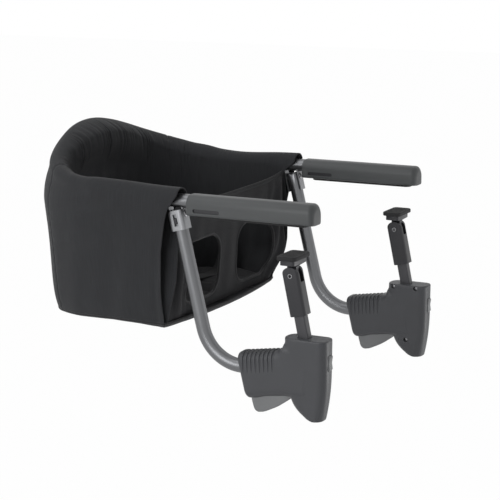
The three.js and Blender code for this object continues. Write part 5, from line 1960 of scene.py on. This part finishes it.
@dataclass
class ClampWorks:
    """The squeeze lever, its pin, the two jamming plates, the spring and the release button."""

    shaft: Leaning = SHAFT_AXES
    lever_half: float = 10.5
    lever_arm: float = 3.2
    spring_radius: float = 11.3
    wire: float = 1.0
    turns: int = 4
    travel: float = 2.3
    button_face: float = 2.0
    button_proud: float = 1.2
    coil: tuple[float, float] = (-62.97, -36.06)

    LEVER_GAP = ((-260, -148.7), (-290, -169))
    LEVER = (
        ((-83.2, -237), 0.5), ((-83.8, -251), 6), ((-88.5, -267.5), 5), ((-94, -271.2), 3), ((-104, -269.6), 5),
        ((-126, -259), 10), ((-144.6, -245.2), 3), ((-147.5, -240.5), 3), ((-165.3, -233.2), 4),
        ((-187.4, -222.2), 2), ((-191.6, -221.5), 1.5), ((-193.7, -218), 1.5), ((-191.6, -215), 1.5),
        ((-187, -215.5), 2), ((-173.4, -216.8), 1.5), ((-171, -216.8), 1), ((-168.6, -219.2), 1),
        ((-149, -232.2), 3), ((-143.6, -237), 2),
    )

    def build(self) -> None:
        """Makes every piece of the works on both sides."""
        self.build_levers()
        self.build_springs()
        self.build_buttons()
        plain = (
            ("trigger_pin", "folding_arm_{}", DARK_ZINC),
            ("drive_plate", "drive_plate_{}", ZINC_PLATE),
            ("brake_plate", "brake_plate_{}", ZINC_PLATE),
        )
        for side in SIDES:
            for node, body, finish in plain:
                piece = refined(f"{node}_{side}", f"{node}_fine_{side}", finish, 0.3)
                belongs(piece, body.format(side), "plate_steel", f"{node}_{side}")

    def build_levers(self) -> None:
        """The lever's outline with eased corners, as a slab with rounded edges whose front is two arms."""
        points, radii = zip(*self.LEVER)
        rings = slab_rings(rounded_corners(points, radii), -self.lever_half, self.lever_half, 1.6, 4)
        lever = Skin().capped(in_side_view(rings)).piece("squeeze_lever_left", LEVER_GREY)
        half = self.lever_half - self.lever_arm
        gap = block((-half, half), *self.LEVER_GAP)
        hole = rod(*ClampHousing.LEVER_PIN)
        lever = dressed(worked(lever, Cut.AWAY, gap, hole), LEVER_GREY, 40)
        pair(lever, "trigger_{}", "grey_plastic", "trigger_{}")

    def build_buttons(self) -> None:
        """The release buttons: the node's shape with its front face brought forward."""
        for side in SIDES:
            node = f"release_button_{side}"
            piece = refined(node, f"release_button_fine_{side}", LEVER_GREY, 0.7)
            corners = piece.data.vertices
            place = np.empty(3 * len(corners), np.float32)
            corners.foreach_get("co", place)
            depth = place[1::3]
            face = depth < depth.min() + self.button_face * MM
            place[1::3] = np.where(face, depth - self.button_proud * MM, depth)
            corners.foreach_set("co", place)
            piece.data.update()
            belongs(piece, node, "grey_plastic", node)

    def build_springs(self) -> None:
        """A round wire along a helix about the shaft."""
        turn = np.linspace(0, 2 * math.pi * self.turns, 36 * self.turns + 1)
        height = np.linspace(*self.coil, len(turn))
        path = np.stack([self.spring_radius * np.cos(turn), self.spring_radius * np.sin(turn), height], axis=-1)
        rings = sweep(path, circle(self.wire, 12), (0, 0, 1))[:, :-1]
        spring = Skin().capped(self.shaft(rings)).piece("coil_left", ZINC_PLATE, 60)
        springs = pair(spring, "folding_arm_{}", "plate_steel", "drive_spring_{}")
        low, high = self.shaft(np.array([(0, 0, height[0] - self.wire), (0, 0, height[-1] + self.wire)]))
        for side, one in zip(SIDES, springs):
            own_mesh(one)


@dataclass
class Plunger:
    """The bar that slides in the clamp, its shroud, and the foot that tilts on a hollow pin."""

    shaft: Leaning = SHAFT_AXES
    width: float = 14.0
    depth: float = 16.0
    below: float = 84.0
    above: float = 67.4
    shroud_width: float = 23.0
    shroud_depth: float = 25.0
    shroud_low: float = 25.0
    fork_half: float = 5.3
    fork_depth: float = 10.5
    pin_above: float = 82.0
    pin_radius: float = 3.4
    pin_bore: float = 2.2
    pad_z: tuple[float, float] = (-46.0, -40.0)
    pad_y: float = -143.75
    pad_width: float = 54.0
    pad_depth: float = 30.0

    def build(self) -> None:
        """Makes the bars, shrouds, pins and feet."""
        outline = rounded(self.width, -self.depth / 2, self.depth / 2, 2.2)
        rings = self.shaft(slab_rings(outline, -self.below, self.above, 0.8))
        bar = Skin().capped(rings).piece("bar_left", SHAFT_BLACK)
        pair(bar, "plunger_{}", "shaft_steel", "plunger_shaft_{}")
        self.build_shrouds()
        self.build_pins()
        for side in SIDES:
            foot = refined(f"foot_block_{side}", f"foot_{side}", SATIN_BLACK, 1.1)
            belongs(foot, f"foot_{side}", "black_plastic", f"foot_block_{side}")
        self.build_pads()

    def build_shrouds(self) -> None:
        """A rounded sleeve over the bar's end with a round knuckle about the pin and a slot for the foot's lug."""
        crown = self.shroud_depth / 2
        outline = rounded(self.shroud_width, -crown, crown, 5.5)
        rings = slab_rings(outline, self.shroud_low, self.pin_above + crown + 1, 0.9)
        shroud = Skin().capped(self.shaft(rings)).piece("shroud_left", SATIN_BLACK)
        pin_line = self.shaft(np.array([(-30, 0, self.pin_above), (30, 0, self.pin_above)]))
        above = block((-24, 24), (-24, 24), (self.pin_above, self.pin_above + 2 * crown), self.shaft)
        above = worked(above, Cut.AWAY, rod(crown, *pin_line, 72))
        fork = (self.pin_above - self.fork_depth, self.pin_above + 30)
        clevis = block((-self.fork_half, self.fork_half), (-25, 25), fork, self.shaft)
        wide, deep = self.width / 2 + FIT, self.depth / 2 + FIT
        socket = block((-wide, wide), (-deep, deep), (self.shroud_low - 2, self.above + FIT), self.shaft)
        shroud = worked(shroud, Cut.AWAY, above, clevis, socket, rod(self.pin_radius + FIT, *pin_line, 36))
        pair(softened(dressed(shroud, SATIN_BLACK), 0.6, 45), "plunger_{}", "black_plastic", "shaft_shroud_{}")

    def build_pins(self) -> None:
        """A hollow pin along X: a turned ring section with eased rims."""
        half, bore, out = self.shroud_width / 2, self.pin_bore, self.pin_radius
        end = np.array([(half - 0.2, bore), (half, bore + 0.2), (half, out - 0.3), (half - 0.3, out)])
        profile = np.concatenate([end, end[::-1] * (-1, 1), end[:1]])
        centre = self.shaft(np.array([0, 0, self.pin_above]))
        pin = Skin().grid(turned(profile, centre, (1, 0, 0), 36)).piece("hollow_pin_left", DARK_ZINC)
        pair(pin, "plunger_{}", "plate_steel", "foot_pin_{}")

    def build_pads(self) -> None:
        """A rounded rubber slab with grooves across its gripping face."""
        outline = rounded(self.pad_width, self.pad_y - self.pad_depth / 2, self.pad_y + self.pad_depth / 2, 7.0)
        pad = Skin().capped(slab_rings(outline, *self.pad_z, 1.4)).piece("foot_grip_left", SOFT_RUBBER)
        cuts = Skin()
        for x in np.linspace(-20, 20, 9):
            bar = rounded(1.4, self.pad_y - 11, self.pad_y + 11, 0.6, steps=4)
            cuts.capped(prism(bar + (x, 0), 2, (self.pad_z[1] - 0.8, self.pad_z[1] + 1)))
        pad = worked(pad, Cut.AWAY, cuts.piece("tool", SOFT_RUBBER))
        pair(dressed(pad, SOFT_RUBBER), "foot_{}", "rubber", "foot_pad_{}")


# Stage


@dataclass
class Studio:
    """Plain pale floor well below the chair, soft lamps and the photograph's camera."""

    floor: float = -740.0
    reach: float = 12000.0
    azimuth: float = -63.32
    elevation: float = 11.45
    camera: tuple[float, float, float] = (-2155.6, -1063.0, 404.0)
    lens: float = 115.63
    sensor: float = 36.0
    pale: float = 0.88
    glow: float = 0.985
    least_light: float = 0.25

    def build(self) -> None:
        """Makes the camera, the floor, the world and the lamps."""
        self.build_camera()
        self.build_floor()
        self.build_world()
        self.lamp("overhead_panel", (-700, 1100, 1900), (0, 0, 0), 1500, 10)
        self.lamp("front_panel_light", (800, -1250, -560), (0, -100, -150), 380, 5)
        self.lamp("side_panel_light", (-2300, 350, 560), (0, 100, -50), 1300, 23)

    def build_camera(self) -> None:
        """Puts the camera where the photograph was taken from."""
        data = bpy.data.cameras.new("photo_camera")
        data.lens, data.sensor_width = self.lens, self.sensor
        camera = bpy.data.objects.new("photo_camera", data)
        bpy.context.scene.collection.objects.link(camera)
        turn, tilt = math.radians(self.azimuth), math.radians(self.elevation)
        away = Vector((math.sin(turn) * math.cos(tilt), -math.cos(turn) * math.cos(tilt), math.sin(tilt)))
        camera.location = Vector(self.camera) * MM
        camera.rotation_euler = (-away).to_track_quat("-Z", "Y").to_euler()
        bpy.context.scene.camera = camera

    def seen_directly(self, tree: NodeTree) -> Socket:
        """1 for rays that show the background: from the camera, a gloss or through glass.

        Args:
            tree: the tree that asks.

        Returns:
            The answer, 0 or 1.
        """
        rays = tree.add("LightPath").outputs
        seen = rays["Is Camera Ray"]
        for kind in ("Is Glossy Ray", "Is Transmission Ray"):
            seen = tree.math("MAXIMUM", seen, rays[kind])
        return seen

    def build_floor(self) -> None:
        """Lays a pale floor that keeps a soft shadow and looks white to the camera."""
        ends = (-self.reach, self.reach)
        pale = bpy.data.materials.new("pale_floor")
        tree = NodeTree(pale)
        tree.set(Base_Color=(self.pale, self.pale, self.pale, 1), Roughness=0.9)
        share = tree.math("MULTIPLY", self.seen_directly(tree), self.glow)
        glow = tree.add("Emission").outputs[0]
        both = tree.add("MixShader", {0: share, 1: tree.surface.outputs[0], 2: glow})
        tree.feed(tree.tree.nodes["Material Output"], "Surface", both.outputs[0])
        points = np.array([[(x, y, self.floor) for x in ends] for y in ends])
        floor = Skin().grid(points).piece("floor", SATIN_BLACK, open_sheet=True)
        floor.data.materials[0] = pale

    def build_world(self) -> None:
        """Lights the object evenly from all round, with a white background."""
        world = bpy.data.worlds.new("studio")
        tree = NodeTree(world)
        light = tree.between(self.seen_directly(tree), self.least_light, 1.0)
        tree.set(Color=(1, 1, 1, 1), Strength=light)
        bpy.context.scene.world = world

    def lamp(self, name: str, place: Numbers, aim: Numbers, size: float, watts: float) -> None:
        """Adds a square soft lamp that faces a point.

        Args:
            name: its name.
            place: where it hangs.
            aim: the point.
            size: its side.
            watts: its power.
        """
        data = bpy.data.lights.new(name, "AREA")
        data.shape, data.size, data.energy = "SQUARE", size * MM, watts
        lamp = bpy.data.objects.new(name, data)
        lamp.visible_camera = False
        bpy.context.scene.collection.objects.link(lamp)
        lamp.location = Vector(place) * MM
        lamp.rotation_euler = (Vector(aim) - Vector(place)).to_track_quat("-Z", "Y").to_euler()


def main() -> None:
    """Loads the frame and builds the chair's looks round it, sub-assembly by sub-assembly."""
    logging.basicConfig(level=logging.INFO, format="%(name)s: %(message)s")
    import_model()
    bpy.context.scene.view_settings.view_transform = "Standard"
    Studio().build()
    rim = Rim()
    UpperFrame(rim).build()
    FoldJoint(rim).build()
    LowerTube().build()
    ClampHousing().build()
    ClampWorks().build()
    Plunger().build()
    cloth = SeatCloth(rim)
    cloth.build()
    FrontCloth(cloth).build()
    SeatBottom(cloth).build()
    Harness().build()


if __name__ == "__main__":
    main()
